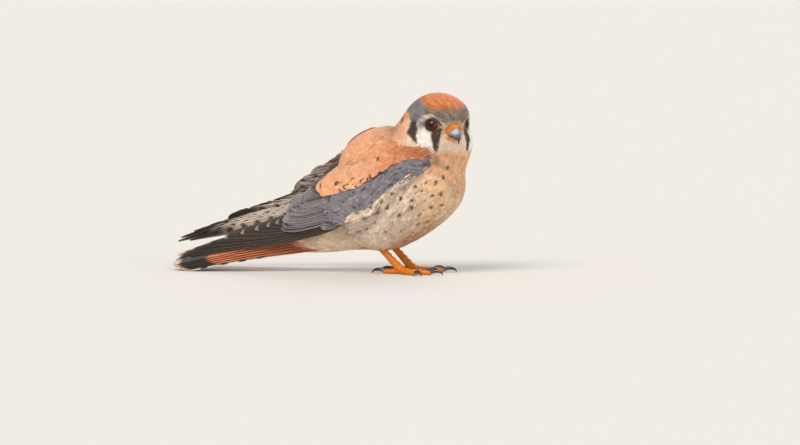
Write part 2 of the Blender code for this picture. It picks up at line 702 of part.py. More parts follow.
def rectrix(surface, root, tip, near, far, hand):
    """A tail feather: its layer closes up from near, over the root, to far, at the tip."""
    root, tip = np.array(root), np.array(tip)
    way = (tip - root) / np.linalg.norm(tip - root)
    cross = np.array((-way[1], way[0]))

    def shape(across, along, face):
        half = RECTRIX_WIDTH * 0.5 * vane_outline(along, False)
        place = root + (tip - root) * along[:, None] + cross * (across * half)[:, None]
        settle = np.clip((along - 0.35) / 0.55, 0, 1)
        settle = settle**2 * (3 - 2 * settle)
        ridge = 0.5 * (1 - np.abs(across))
        height = near + (far - near) * settle + ridge
        thin = VANE * (1 - 0.45 * np.clip((along - 0.8) / 0.2, 0, 1))
        return surface(place[:, 0], place[:, 1], height + (face - 0.5) * thin)

    return slab("rectrix", 2, 5, shape)


# ---------------------------------------------------------------- the bird
def place_all():
    """Millimetres to metres, with the origin on the floor under the middle of the bird."""
    collection = bpy.data.collections.new("american_kestrel")
    bpy.context.scene.collection.children.link(collection)
    nodes = list(bpy.context.scene.collection.objects)
    corners = np.array([v.co for obj in nodes for v in obj.data.vertices])
    middle = (corners.min(axis=0) + corners.max(axis=0)) / 2
    placed = Matrix.Scale(MM, 4) @ Matrix.Translation((-middle[0], -middle[1], 0.0))
    for obj in nodes:
        obj.data.transform(placed)
        bpy.context.scene.collection.objects.unlink(obj)
        collection.objects.link(obj)


def main():
    for obj in list(bpy.data.objects):
        bpy.data.objects.remove(obj)
    _, _, head = flesh()
    eyes(head)
    bill()
    legs()
    wing("right")
    wing("left")
    tail()
    place_all()


main()
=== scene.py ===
"""Plumage and finish of a male American kestrel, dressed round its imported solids.

The bird faces -Y with its left side at +X. Every shape is worked out in millimetres about a point
between its feet, and placed() turns it to metres in the frame."""

import math

import bpy
import numpy as np
from mathutils import Matrix


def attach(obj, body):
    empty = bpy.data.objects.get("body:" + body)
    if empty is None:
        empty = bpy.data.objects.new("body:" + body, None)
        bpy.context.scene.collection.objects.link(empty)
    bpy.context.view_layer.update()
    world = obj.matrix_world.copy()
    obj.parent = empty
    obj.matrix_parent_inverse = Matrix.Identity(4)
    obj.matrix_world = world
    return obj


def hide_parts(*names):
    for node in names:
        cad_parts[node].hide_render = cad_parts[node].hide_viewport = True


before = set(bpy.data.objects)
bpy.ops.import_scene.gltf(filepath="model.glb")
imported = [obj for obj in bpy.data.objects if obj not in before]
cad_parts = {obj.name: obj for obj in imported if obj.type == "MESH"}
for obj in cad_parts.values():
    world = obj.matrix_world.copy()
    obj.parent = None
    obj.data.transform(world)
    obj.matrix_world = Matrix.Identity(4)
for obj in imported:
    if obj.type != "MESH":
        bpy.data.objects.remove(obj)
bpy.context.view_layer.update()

# ============================================================ studio
# A plain pale floor in an evenly lit room, wide enough to fill every view. The camera stands five
# metres off, a little above the bird, to the front of its right side.

FRAME_SHIFT = np.array((0.2334442, -60.8923896, 0.0))  # millimetres: working place to frame
VIEW_TURN, VIEW_RISE = math.radians(17.0), math.radians(4.0)
VIEW_DISTANCE, VIEW_WIDTH = 5000.0, 533.3
VIEW_AIM = (-5.33, 33.7)  # to the right and up from the point between the feet


def placed(points):
    """Millimetres to metres: (place + shift) / 1000."""
    return (np.asarray(points, float) + FRAME_SHIFT) * 0.001


def linear(hex_colour):
    """sRGB hex to linear light: ((c + 0.055) / 1.055) ^ 2.4, or c / 12.92 close to black."""
    srgb = np.array([int(hex_colour[i : i + 2], 16) for i in (1, 3, 5)]) / 255
    return np.where(srgb <= 0.04045, srgb / 12.92, ((srgb + 0.055) / 1.055) ** 2.4)


def add_node(tree, kind, inputs=None, **settings):
    """Adds a node; inputs gives its sockets values, or another node's socket to link from."""
    node = tree.nodes.new(kind)
    for key, value in settings.items():
        setattr(node, key, value)
    for key, value in (inputs or {}).items():
        if isinstance(value, bpy.types.NodeSocket):
            tree.links.new(value, node.inputs[key])
        else:
            node.inputs[key].default_value = value
    return node


def new_material(name, **sockets):
    """A Principled material: its node tree and shader, with the shader's own sockets set."""
    material = bpy.data.materials.new(name)
    material.use_nodes = True
    tree = material.node_tree
    shader = tree.nodes["Principled BSDF"]
    for key, value in sockets.items():
        shader.inputs[key.replace("_", " ")].default_value = value
    return material, tree, shader


FLOOR_RADIUS, FLOOR_SIDES = 60.0, 96  # metres
floor_mesh = bpy.data.meshes.new("floor")
turns = np.linspace(0, 2 * math.pi, FLOOR_SIDES, endpoint=False)
floor_rim = np.stack((np.cos(turns), np.sin(turns), 0 * turns), 1) * FLOOR_RADIUS
floor_mesh.from_pydata(floor_rim.tolist(), [], [list(range(FLOOR_SIDES))])
floor = bpy.data.objects.new("floor", floor_mesh)
bpy.context.scene.collection.objects.link(floor)
# Matt studio paper: no shine, one pale tone.
paper, _, _ = new_material(
    "matt_studio_paper", Base_Color=(*linear("#e2e0dc"), 1.0), Roughness=0.95, Specular_IOR_Level=0.2
)
floor_mesh.materials.append(paper)

view_right = np.array((math.sin(VIEW_TURN), -math.cos(VIEW_TURN), 0.0))
view_toward = np.array((-math.cos(VIEW_TURN) * math.cos(VIEW_RISE),
                        -math.sin(VIEW_TURN) * math.cos(VIEW_RISE), math.sin(VIEW_RISE)))
view_up = np.cross(view_toward, view_right)


def stand(obj, place_mm, toward):
    """Sets a lamp or camera at a place so that its own -Z looks against toward."""
    toward = np.asarray(toward, float) / np.linalg.norm(toward)
    side = np.cross((0.0, 0.0, 1.0), toward)
    side /= np.linalg.norm(side)
    matrix = Matrix.Identity(4)
    for column, axis in enumerate((side, np.cross(toward, side), toward)):
        for row in range(3):
            matrix[row][column] = axis[row]
    for row, value in enumerate(placed(place_mm)):
        matrix[row][3] = value
    obj.matrix_world = matrix
    bpy.context.scene.collection.objects.link(obj)


camera_data = bpy.data.cameras.new("camera")
camera_data.sensor_width = 36.0
camera_data.lens = 36.0 * VIEW_DISTANCE / VIEW_WIDTH
camera_data.clip_end = 200.0
camera = bpy.data.objects.new("camera", camera_data)
aim = view_right * VIEW_AIM[0] + view_up * VIEW_AIM[1]
stand(camera, aim + view_toward * VIEW_DISTANCE, view_toward)
bpy.context.scene.camera = camera

LAMPS = (  # name, right, up, toward the camera, spread in degrees, strength, colour
    ("key", -0.55, 1.1, 1.0, 30.0, 1.9, "#fff4e6"),
    ("fill", 1.0, 0.25, 0.9, 50.0, 1.0, "#fff8f0"),
    ("rim", 0.4, 1.0, -1.1, 40.0, 0.7, "#ffffff"),
)
for name, to_right, to_up, to_camera, spread, strength, glow in LAMPS:
    lamp_data = bpy.data.lights.new(name, "SUN")
    lamp_data.angle = math.radians(spread)
    lamp_data.energy = strength
    lamp_data.color = linear(glow)
    offset = view_right * to_right + view_up * to_up + view_toward * to_camera
    stand(bpy.data.objects.new(name, lamp_data), aim + offset * 2000.0, offset)

bpy.context.scene.view_settings.view_transform = "Standard"
world = bpy.data.worlds.new("pale_room")
world.use_nodes = True
world.node_tree.nodes["Background"].inputs["Color"].default_value = (*linear("#e9ebee"), 1.0)
world.node_tree.nodes["Background"].inputs["Strength"].default_value = 0.62
bpy.context.scene.world = world

# ============================================================ skin
# The bird's own skin from crown to tail root, in one piece with no seam. It lies under the coat and
# carries the coat's colours, so that no bare place shows where the feathers part.

HEAD_CENTRE = np.array((-3.0, -23.2, 98.5))
HEAD_TURN = 43.0  # degrees to the bird's right
COAT_DEPTH = 1.0  # the skin lies this far inside the outline of the feathers
MELT, CREASE = 9.0, 4.0


def on_head(ahead, left, up):
    """A place in the head's own frame: ahead along the bill, left, up."""
    turn = math.radians(HEAD_TURN)
    forward = np.array((-math.sin(turn), -math.cos(turn), 0.0))
    sideways = np.array((math.cos(turn), -math.sin(turn), 0.0))
    return HEAD_CENTRE + forward * ahead + sideways * left + np.array((0.0, 0.0, up))


def unit(vectors):
    """Each vector divided by its length."""
    vectors = np.asarray(vectors, float)
    return vectors / (np.linalg.norm(vectors, axis=-1, keepdims=True) + 1e-12)


MASSES = (  # centre, radii (sideways, along, through), pitch, turn, softness of the join
    ((0.0, 8.0, 54.0), (26.0, 41.0, 30.0), 40.0, 0.0, MELT),  # trunk
    ((0.0, -13.0, 59.0), (25.5, 27.0, 25.5), 56.0, 0.0, MELT),  # breast
    ((0.0, 18.0, 74.5), (20.5, 31.0, 22.5), 20.0, 0.0, MELT),  # mantle
    ((15.0, 4.0, 46.0), (12.0, 30.0, 15.0), 38.0, 0.0, MELT),  # left flank
    ((-15.0, 4.0, 46.0), (12.0, 30.0, 15.0), 38.0, 0.0, MELT),  # right flank
    ((0.0, 7.0, 35.5), (21.0, 30.0, 16.5), 22.0, 0.0, MELT),  # belly
    ((0.0, 37.0, 31.0), (14.0, 22.0, 12.5), 14.0, 0.0, MELT),  # vent
    ((0.0, 48.0, 32.5), (13.0, 27.0, 10.0), 27.0, 0.0, MELT),  # rump
    ((12.5, 15.5, 27.0), (8.4, 9.0, 12.0), 70.0, 0.0, MELT),  # left thigh
    ((-12.5, 16.5, 27.0), (8.4, 9.0, 12.0), 70.0, 0.0, MELT),  # right thigh
    ((-1.4, 52.0, 22.6), (11.6, 33.0, 8.0), 8.2, -4.6, MELT),  # tail coverts
    ((-1.0, -13.0, 86.0), (20.5, 18.5, 18.0), 50.0, 20.0, MELT),  # neck
    ((2.0, -23.0, 77.0), (19.0, 17.0, 16.0), 0.0, 0.0, CREASE),  # throat
    ((-2.0, -7.0, 98.4), (15.0, 17.0, 10.2), 41.0, 20.0, CREASE),  # nape
    (on_head(-2.2, 0.0, 7.0), (18.8, 19.9, 12.4), 0.0, HEAD_TURN, CREASE),  # crown
    (on_head(-2.8, 0.0, 0.0), (19.0, 20.0, 20.6), 0.0, HEAD_TURN, MELT),  # head
    (on_head(-1.5, 0.0, -11.0), (23.0, 18.5, 12.0), 0.0, HEAD_TURN, MELT),  # cheeks
    (on_head(7.6, 7.9, 6.3), (5.2, 7.6, 2.9), 6.0, HEAD_TURN - 24.0, CREASE),  # left brow
    (on_head(7.6, -7.9, 6.3), (5.2, 7.6, 2.9), 6.0, HEAD_TURN + 24.0, CREASE),  # right brow
    (on_head(11.0, 0.0, -9.5), (7.5, 7.0, 4.5), 0.0, HEAD_TURN, CREASE),  # chin
)
SPINE = (
    (-1.2, 66.0, 21.0), (0.0, 38.0, 30.0), (0.0, 12.0, 50.0), (-1.0, -10.0, 76.0), (-3.0, -20.0, 102.0),
)
TAIL_CAP, CROWN_CAP = 0.10, 0.16
EYE_PLACE, EYE_LOOKS, EYE_RADIUS = (9.4, 10.7, 1.3), (0.66, 0.75, 0.0), 5.4
ORBIT_DEPTH, ORBIT_START, ORBIT_END = 1.1, 3.4, 8.2  # the hollow round each eye


def eye_frame(hand):
    """Centre of an eye and its axes: looks outwards, forwards along the face, and up."""
    ahead, left, up = EYE_PLACE
    centre = on_head(ahead, hand * left, up)
    looks = unit(on_head(EYE_LOOKS[0], hand * EYE_LOOKS[1], EYE_LOOKS[2]) - HEAD_CENTRE)
    rise = np.array((0.0, 0.0, 1.0))
    forwards = np.cross(rise, looks) * -hand
    return centre, looks, forwards, rise


def mass_axes(pitch, turn):
    """Rows: sideways, along (forwards and up by the pitch), through."""
    p, t = math.radians(pitch), math.radians(turn)
    side = (math.cos(t), -math.sin(t), 0.0)
    along = (-math.sin(t) * math.cos(p), -math.cos(t) * math.cos(p), math.sin(p))
    return np.array((side, along, np.cross(side, along)))


def body_distance(points):
    """Distance from the melted ellipsoids, negative inside: k (k - 1) / |gradient|, joined softly."""
    total = None
    for centre, radii, pitch, turn, melt in MASSES:
        local = (points - np.asarray(centre)) @ mass_axes(pitch, turn).T
        scaled = np.linalg.norm(local / radii, axis=-1)
        slope = np.linalg.norm(local / np.square(radii), axis=-1) + 1e-9
        distance = scaled * (scaled - 1) / slope
        if total is None:
            total = distance
            continue
        blend = np.clip(melt - np.abs(total - distance), 0, None) / melt
        total = np.minimum(total, distance) - blend**2 * melt / 4
    for hand in (-1, 1):
        centre, looks, _, _ = eye_frame(hand)
        from_eye = points - centre
        out = from_eye @ looks
        off = np.sqrt(np.clip((from_eye * from_eye).sum(-1) - out * out, 0, None))
        total = total + ORBIT_DEPTH * (1 - soft(off, ORBIT_START, ORBIT_END)) * (out > 0)
    return total


def body_normal(points):
    """Outward normal of the body: its distance a small step away along each axis, less the middle."""
    middle = body_distance(points)
    steps = [body_distance(points + np.eye(3)[axis] * 0.2) - middle for axis in range(3)]
    return unit(np.stack(steps, -1))


def smooth_path(path, t):
    """Place and direction at t, from 0 to 1, on the one polynomial through evenly spaced places."""
    degree = len(path) - 1
    curve = np.polyfit(np.linspace(0, 1, len(path)), np.array(path, float), degree)
    slope = curve[:-1] * np.arange(degree, 0, -1)[:, None]
    powers = t[..., None] ** np.arange(degree, -1, -1)
    return powers @ curve, unit(powers[..., 1:] @ slope)


def spine_at(along):
    """Place and direction on the spine, for along 0 (tail) to 1 (crown); it stands still at each cap."""
    return smooth_path(SPINE, np.clip((along - TAIL_CAP) / (1 - TAIL_CAP - CROWN_CAP), 0, 1))


def body_surface(along, around, swell=0.0):
    """Rays from the spine, square to it and leaning over at each end, run until they leave the body."""
    origins, tangent = spine_at(along)
    side = unit(np.array((1.0, 0.0, 0.0)) - tangent * tangent[:, :1])
    through = np.cross(tangent, side)
    ring = side * np.cos(around)[:, None] + through * np.sin(around)[:, None]
    tail_lean = np.clip(1 - along / TAIL_CAP, 0, 1) * math.pi / 2
    crown_lean = np.clip(1 - (1 - along) / CROWN_CAP, 0, 1) * math.pi / 2
    lean = (crown_lean - tail_lean)[:, None]
    directions = ring * np.cos(lean) + tangent * np.sin(lean)
    step, far = 1.5, 60.0
    low = np.zeros(len(origins))
    left = np.zeros(len(origins), bool)
    for reach in np.arange(step, far, step):
        left |= body_distance(origins + directions * reach) > swell
        low = np.where(left, low, reach)
    high = low + step
    for _ in range(12):
        middle = (low + high) / 2
        outside = body_distance(origins + directions * middle[:, None]) > swell
        high, low = np.where(outside, middle, high), np.where(outside, low, middle)
    return origins + directions * low[:, None]


def round_grid(steps, columns):
    """Two parameters as a grid: the steps along its rows, and the angle round in each of them."""
    return np.meshgrid(steps, np.linspace(0, 2 * math.pi, columns, endpoint=False), indexing="ij")


def ring_faces(rings, columns, closed=True):
    """Triangles between neighbouring rings of points, with a fan to one last point at each end."""
    r, c = np.meshgrid(np.arange(rings - 1), np.arange(columns), indexing="ij")
    here, beside = (r * columns + c).ravel(), (r * columns + (c + 1) % columns).ravel()
    faces = np.concatenate((np.stack((here, beside, beside + columns), 1),
                            np.stack((here, beside + columns, here + columns), 1)))
    if not closed:
        return faces
    c = np.arange(columns)
    beside, last, end = (c + 1) % columns, (rings - 1) * columns, c * 0 + rings * columns
    return np.concatenate((faces, np.stack((end, beside, c), 1),
                           np.stack((end + 1, last + c, last + beside), 1)))


def outwards(points, faces):
    """The same faces, turned so that the volume, a sixth of the sum of a . (b x c), is positive."""
    a, b, c = (points[faces[:, i]] - points.mean(0) for i in range(3))
    return faces if np.einsum("ij,ij->i", a, np.cross(b, c)).sum() > 0 else faces[:, ::-1]


def add_piece(name, points, faces, finish, nodes=(), colours=None, maps=None, flat=None,
              normals=None):
    """Makes one mesh of triangles, faces outwards, with a colour and maps given point by point.

    flat marks the faces that keep a hard edge. normals, if given, are the points' shading normals, and
    are turned over on the faces that look the other way."""
    faces = np.ascontiguousarray(outwards(points, faces), dtype=np.int32)
    mesh = bpy.data.meshes.new(name)
    mesh.vertices.add(len(points))
    mesh.vertices.foreach_set("co", placed(points).astype(np.float32).ravel())
    mesh.loops.add(faces.size)
    mesh.loops.foreach_set("vertex_index", faces.ravel())
    mesh.polygons.add(len(faces))
    mesh.polygons.foreach_set("loop_start", np.arange(0, faces.size, 3, dtype=np.int32))
    mesh.polygons.foreach_set("use_smooth", np.ones(len(faces), bool) if flat is None else ~flat)
    mesh.update(calc_edges=True)
    if normals is not None:
        a, b, c = points[faces].transpose(1, 0, 2)
        own = np.cross(b - a, c - a)
        given = normals[faces]
        given = given * np.where(np.einsum("ij,ikj->ik", own, given) < 0, -1.0, 1.0)[..., None]
        mesh.normals_split_custom_set(given.reshape(-1, 3).astype(np.float32))
    for label, places in (maps or {}).items():
        layer = mesh.uv_layers.new(name=label)
        layer.data.foreach_set("uv", places[faces.ravel()].astype(np.float32).ravel())
    if colours is not None:
        layer = mesh.color_attributes.new("plumage", "FLOAT_COLOR", "POINT")
        rgba = np.concatenate((np.clip(colours, 0, 1), np.ones((len(colours), 1))), 1)
        layer.data.foreach_set("color", rgba.astype(np.float32).ravel())
    mesh.materials.append(finish)
    obj = bpy.data.objects.new(name, mesh)
    bpy.context.scene.collection.objects.link(obj)
    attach(obj, "root")
    if nodes:
        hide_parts(*nodes)
    return obj


def soft(value, start, end):
    """0 at start, 1 at end, t * t * (3 - 2 t) between them; start may be the higher of the two."""
    t = np.clip((value - start) / (end - start), 0, 1)
    return t * t * (3 - 2 * t)


def plain(hex_colour, count):
    """One colour for each of count points."""
    return np.tile(linear(hex_colour), (count, 1))


def painted(colours, *layers):
    """Lays each (colour, mask) over what is there: colours + (colour - colours) * mask."""
    if isinstance(colours, str):
        colours = plain(colours, len(layers[0][1]))
    for colour, mask in layers:
        colour = linear(colour) if isinstance(colour, str) else colour
        colours = colours + (colour - colours) * np.clip(mask, 0, 1)[:, None]
    return colours


def head_angles(points):
    """Degrees round the head from straight ahead, alike on both sides, and the place in its frame."""
    turn = math.radians(HEAD_TURN)
    x, y, up = (points - HEAD_CENTRE).T
    ahead, left = -x * math.sin(turn) - y * math.cos(turn), x * math.cos(turn) - y * math.sin(turn)
    return np.degrees(np.arctan2(np.abs(left), ahead)), ahead, left, up


def band(value, middle, half, edge):
    """1 within half of the middle, falling to 0 over the edge."""
    return soft(np.abs(value - middle), half + edge / 2, half - edge / 2)


BILL_ROOT = on_head(19.0, 0.0, -3.0)
NAPE_SPOT = (112, 4.2)  # angle round from the bill, and height above the head's centre
BODY_GIRTH, SPOT_LONG = 27.0, 1.35  # mm round the body for each radian; spots are longer than wide
# Edges of the head's markings: by the angle round from the bill, height above the head's centre.
FOREHEAD = ((0, 12, 18, 29, 43, 61, 70, 80, 92, 180), (3.2, 3.0, 3.0, 4.2, 7.4, 8.6, 6.2, 3.0, 2.6, 2.6))
CROWN_LINE = ((0, 20, 45, 66, 85, 103, 180), (12.3, 12.3, 12.5, 13.8, 16.0, 18.2, 18.6))
SLATE_REAR = ((2.0, 3.5, 7.0, 9.5, 11.5, 13.5), (88, 91, 98, 104, 125, 190))  # by height, the angle round
# The two dark stripes: by height, the angle of the middle and half the width.
MALAR_STRIPE = ((-17, -14.6, -10.6, -7.6, -4.6, -1.0, 1.5), (39, 38.9, 39, 39.3, 38, 37, 37),
                (1.0, 4.6, 5.4, 8.2, 10.0, 11.0, 8.0))
EAR_STRIPE = ((-11.5, -9.8, -7.3, -3.7, 0, 2.8, 5.5), (70, 71.8, 77, 84.5, 85, 86, 87),
              (0.5, 2.0, 4.8, 9.8, 8.5, 7.2, 4.0))
CHEEK_FOOT = ((40, 46, 62, 71, 82, 95), (-15.5, -14.4, -13.6, -11.0, -7.5, -5.0))
# In the plane of the eye, millimetres forwards and up from its axis.
PALE_BROW = ((-9.5, -7.2, -4.1, 0.0, 2.5, 4.5, 6.5, 9.7), (3.6, 5.6, 7.3, 7.6, 6.6, 4.6, 2.4, 0.4))
MANTLE_EDGE_BY_HEIGHT = ((76, 80, 82, 84, 89, 96, 102), (52, 56, 61, 74, 86, 92, 100))
MANTLE_EDGE_BY_LENGTH = ((-20, 5, 25, 40, 55, 85), (80, 70, 60, 43, 27, 19))


def trunk_axes(points):
    """Millimetres along the trunk, which leans 39 degrees from upright, and through it."""
    _, y, z = points.T
    return -0.63 * y + 0.78 * z, 0.78 * (y - 12) + 0.63 * (z - 50)


def chance(row, column, seed, a=12.9898, b=78.233):
    """A number from 0 to 1 for a cell: the fraction of a large multiple of sin(a row + b column)."""
    return np.mod(np.sin(row * a + column * b + seed) * 43758.5453, 1.0)


def spot_field(points, pitch_along, pitch_round, seed, fill):
    """Distance from the nearest spot: one spot in each cell of a grid on the body, moved at random.

    The cells run along the spine and round it; fill is the share of cells that hold a spot."""
    along, through = trunk_axes(points)
    girth = np.arctan2(np.abs(points[:, 0]), -through) * BODY_GIRTH
    row = np.floor(along / pitch_along)
    nearest = np.full(len(points), 99.0)
    for dr, dc in np.ndindex(3, 3):
        r = row + dr - 1
        shifted = girth + (r % 2) * pitch_round / 2 + np.where(points[:, 0] > 0, 37.0, 0.0)
        c = np.floor(shifted / pitch_round) + dc - 1
        long = (along - (r + 0.5 + 0.55 * (chance(r, c, seed) - 0.5)) * pitch_along) / SPOT_LONG
        wide = shifted - (c + 0.5 + 0.6 * (chance(r, c, seed, 39.346, 11.135) - 0.5)) * pitch_round
        gone = np.where(chance(r, c, seed, 73.156, 52.235) < fill, 0.0, 50.0)
        size = 0.75 + 0.5 * chance(r, c, seed, 7.77, 27.17)
        nearest = np.minimum(nearest, np.hypot(long, wide) / size + gone)
    return nearest


def cloud(first, second, seed):
    """Smooth noise from 0 to 1: a chance value at each whole step, eased between its four neighbours."""
    u, v = np.floor(first), np.floor(second)
    fu, fv = soft(first - u, 0, 1), soft(second - v, 0, 1)
    low, high = (chance(u, v + j, seed) + (chance(u + 1, v + j, seed) - chance(u, v + j, seed)) * fu
                 for j in (0, 1))
    return low + (high - low) * fv


def plumage(points):
    """The coat's colour at a place on the body: base tones, then each marking over the last."""
    x, y, z = points.T
    down, through = trunk_axes(points)
    over = x + 0.6 * through
    streak = cloud(down / 4.5, over / 0.9, 2.0)  # fine streaks along the lie of the coat
    thread = cloud(down / 6.0, over / 0.7 + 40.0, 4.0)
    patch = cloud(down / 7.0, over / 6.0, 9.0)
    wobble = 2.4 * (patch - 0.5) + 1.6 * (streak - 0.5)
    breast = soft(z - 0.35 * np.abs(x), 34, 66)
    side = soft(np.abs(x), 14, 24) * soft(z, 76, 62) * soft(y, -26, -6)
    base = painted(
        "#e6c29a", ("#eab98c", breast),
        # painted shade: the belly deepened to brown underneath, between the legs
        ("#b88a62", soft(z, 48, 24) * soft(y, 34, 8) * soft(np.abs(x), 24, 10)),
        ("#ebd0b2", soft(z, 48, 34) * soft(y, 20, 38)),
        # painted highlight: a pale peach patch high on the right side of the breast
        ("#f8bf93", 0.8 * soft(z, 66, 74) * soft(z, 86, 80) * soft(-x, 4, 14)), ("#dcc8b6", 0.85 * side),
        ("#d98e5e", (0.12 + 0.33 * breast) * soft(streak, 0.62, 0.9)),
        ("#f7e6d2", 0.42 * soft(thread, 0.6, 0.9)),
    )
    base = base * (1 + 0.42 * (streak - 0.5) + 0.16 * (patch - 0.5))[:, None]
    # the neck turns with the head, so its markings are read at an angle that turns with height
    azimuth = np.degrees(np.arctan2(-(x + 1), -(y + 12))) - HEAD_TURN * soft(z, 74, 99)
    azimuth = np.abs((azimuth + 180) % 360 - 180)
    edge = np.interp(z, *MANTLE_EDGE_BY_HEIGHT)
    behind = soft(azimuth + wobble, edge - 3, edge + 5)
    above = soft(z + 0.4 * wobble - np.interp(y, *MANTLE_EDGE_BY_LENGTH), -1.5, 2.0)
    mantle = np.where(z > 78, behind, above * soft(azimuth, 40, 58))
    rufous = painted("#e9a67c", ("#d68a5c", soft(azimuth, 100, 60) * soft(z, 60, 72)),
                     ("#f0b690", 0.8 * soft(y, 6, 22) * soft(y, 46, 30)))
    rufous = rufous * (1 + 0.22 * (streak - 0.5) + 0.2 * (patch - 0.5))[:, None]
    marks = spot_field(points, 11.0, 12.0, 3.1, 0.42)
    # spots of the flanks and sides of the breast: round below, thin above
    spotted = (1 - mantle) * soft(np.abs(x) + 0.5 * np.clip(y, 0, 30), 8, 14)
    spotted = spotted * soft(z, 79, 73) * soft(z, 24, 30) * soft(y, 34, 26)
    spot_size = np.interp(z, (25, 45, 60, 76), (0.7, 1.05, 0.95, 0.75))
    spots = spot_field(points, 7.4, 6.2, 1.7, 0.9) - spot_size
    base = painted(base, (rufous, mantle),
                   ("#3a2a22", 0.85 * soft(marks, 1.3, 0.9) * mantle * soft(y, 4, 12) * (z < 92)),
                   ("#33261f", 0.95 * spotted * soft(spots, 0.25, -0.25)))
    return head_markings(points, base)


def stripe(azimuth, up, rough, line):
    """1 inside a dark stripe of the face, with ragged edges."""
    heights, middles, halves = line
    off = np.abs(azimuth - np.interp(up, heights, middles)) - np.interp(up, heights, halves)
    foot = soft(up + rough, heights[0], heights[0] + 2)
    return soft(off + 2.6 * rough, 2.0, -2.2) * foot * soft(up + 2 * rough, heights[-1], heights[-1] - 2.5)


def head_markings(points, base):
    """The head: slate round a rufous crown, white cheek between two dark stripes, cream chin."""
    azimuth, ahead, left, up = head_angles(points)
    from_bill = np.linalg.norm(points - BILL_ROOT, axis=1)
    bearing = np.arctan2(up + 3.0, np.abs(left) + 0.01) * 22.0 + np.where(left > 0, 90.0, 0.0)
    fine = cloud(bearing / 0.95, from_bill / 2.8, 5.0) - 0.5  # streaks that run back from the bill
    broad = cloud(bearing / 2.6, from_bill / 4.0, 8.0) - 0.5
    rough = 0.9 * fine + 0.8 * broad
    face = soft(up + 1.5 * rough, -18.5, -14.5) * soft(azimuth, 96, 84)
    lores = face * soft(azimuth, 34, 26) * soft(up, -6.0, -1.0)
    cheek = soft(up + 1.2 * rough - np.interp(azimuth, *CHEEK_FOOT), -1.2, 1.4)
    cheek = cheek * band(azimuth, 61, 19, 8) * soft(up, 6.0, 3.5)
    # slate, streaked with brown and buff over the forehead
    front = soft(azimuth, 84, 48)
    grey = painted("#7f7a80", ("#8f7b68", 0.8 * front),
                   ("#574b43", (0.25 + 0.5 * front) * soft(fine, 0.05, 0.3)),
                   ("#b7a48f", (0.1 + 0.28 * front) * soft(-fine, 0.08, 0.32)),
                   ("#9e9aa2", 0.35 * soft(broad, 0.1, 0.35)))
    slate = soft(up - np.interp(azimuth, *FOREHEAD) + 1.3 * rough, -1.0, 1.0)
    slate = slate * soft(azimuth + 2.5 * rough - np.interp(up, *SLATE_REAR), 2.5, -2.0)
    # round the eye: painted shadow over the upper lid, and a thin pale brow above it that runs to the bill
    step = (ahead - EYE_PLACE[0], np.abs(left) - EYE_PLACE[1], up - EYE_PLACE[2])
    along = EYE_LOOKS[1] * step[0] - EYE_LOOKS[0] * step[1]
    facing = EYE_LOOKS[0] * step[0] + EYE_LOOKS[1] * step[1] > 0
    brow = band(step[2] - np.interp(along, *PALE_BROW) + 1.2 * rough, 0.0, 0.5, 1.2)
    brow = brow * soft(along, -9.5, -6.5) * soft(along, 10.5, 8.0) * (1 - 0.45 * soft(along, 2.0, 7.0))
    ring = np.hypot((along - 0.6) / 1.12, step[2]) + 0.9 * rough
    shade = soft(ring, 6.3, 5.2) * soft(step[2] + 0.25 * np.abs(along), 0.6, 2.4)
    # rufous crown: streaked, and darker along its lower edge
    behind = band(azimuth + 3 * rough, 69, 7, 6) * band(up, 4.2, 3.6, 3.0)
    above = up - np.interp(azimuth, *CROWN_LINE) + 1.8 * rough
    rufous = painted("#dd8853", ("#b9622f", 0.6 * soft(above, 4.5, 0.5)),
                     ("#a5562b", 0.5 * soft(fine, 0.0, 0.35)), ("#f0a878", 0.45 * soft(-fine, 0.05, 0.35)))
    eyespot = np.hypot((azimuth - NAPE_SPOT[0]) * 0.36, (up - NAPE_SPOT[1]) * 0.8)
    return painted(
        base,
        ("#f5caa6", soft(up, -20, -14) * soft(azimuth, 80, 92)),
        ("#e99c6a", soft(up, 2, 7) * soft(azimuth + 3 * rough, 96, 102)),
        ("#f0b48c", 0.7 * soft(azimuth, 96, 104) * band(up, -3.0, 5.0, 5.0)),
        ("#f9dcc4", face), ("#d5b997", lores), ("#6f5b49", lores * 0.7 * soft(fine, 0.12, 0.34)),
        ("#fdf8f1", cheek),
        ("#9d948e", cheek * soft(up, -6.0, 3.0) * (0.3 + 0.55 * soft(fine, -0.1, 0.25))),
        (grey, slate), ("#cfae86", 0.7 * soft(azimuth, 22, 10) * band(up, 3.0, 1.6, 3.0)),
        ("#f2e8db", 0.85 * brow * facing), ("#4a3b2d", 0.95 * shade * facing),
        ("#c9b8a4", 0.6 * soft(ring, 6.0, 4.6) * soft(-step[2], 0.0, 2.0) * facing),
        ("#8f857e", behind * (0.35 + 0.45 * soft(fine, -0.1, 0.2))), (rufous, soft(above, -0.8, 0.8)),
        ("#3f3127", 0.97 * stripe(azimuth, up, rough, MALAR_STRIPE) * (fine > -0.42)),
        ("#36291f", 0.97 * stripe(azimuth, up, rough, EAR_STRIPE)),
        ("#4d4036", 0.8 * soft(eyespot, 2.4, 0.9)),
    )


def piece_material(name, **sockets):
    """A material that takes its base colour from the piece, point by point."""
    material, tree, shader = new_material(name, **sockets)
    colour = add_node(tree, "ShaderNodeAttribute", attribute_name="plumage").outputs["Color"]
    tree.links.new(colour, shader.inputs["Base Color"])
    return material, tree, shader, colour


def add_relief(tree, shader, height, strength, depth, invert=False):
    """Relief from a node's height output, depth metres deep."""
    bump = add_node(tree, "ShaderNodeBump", {"Height": height, "Strength": strength, "Distance": depth},
                    invert=invert)
    tree.links.new(bump.outputs["Normal"], shader.inputs["Normal"])


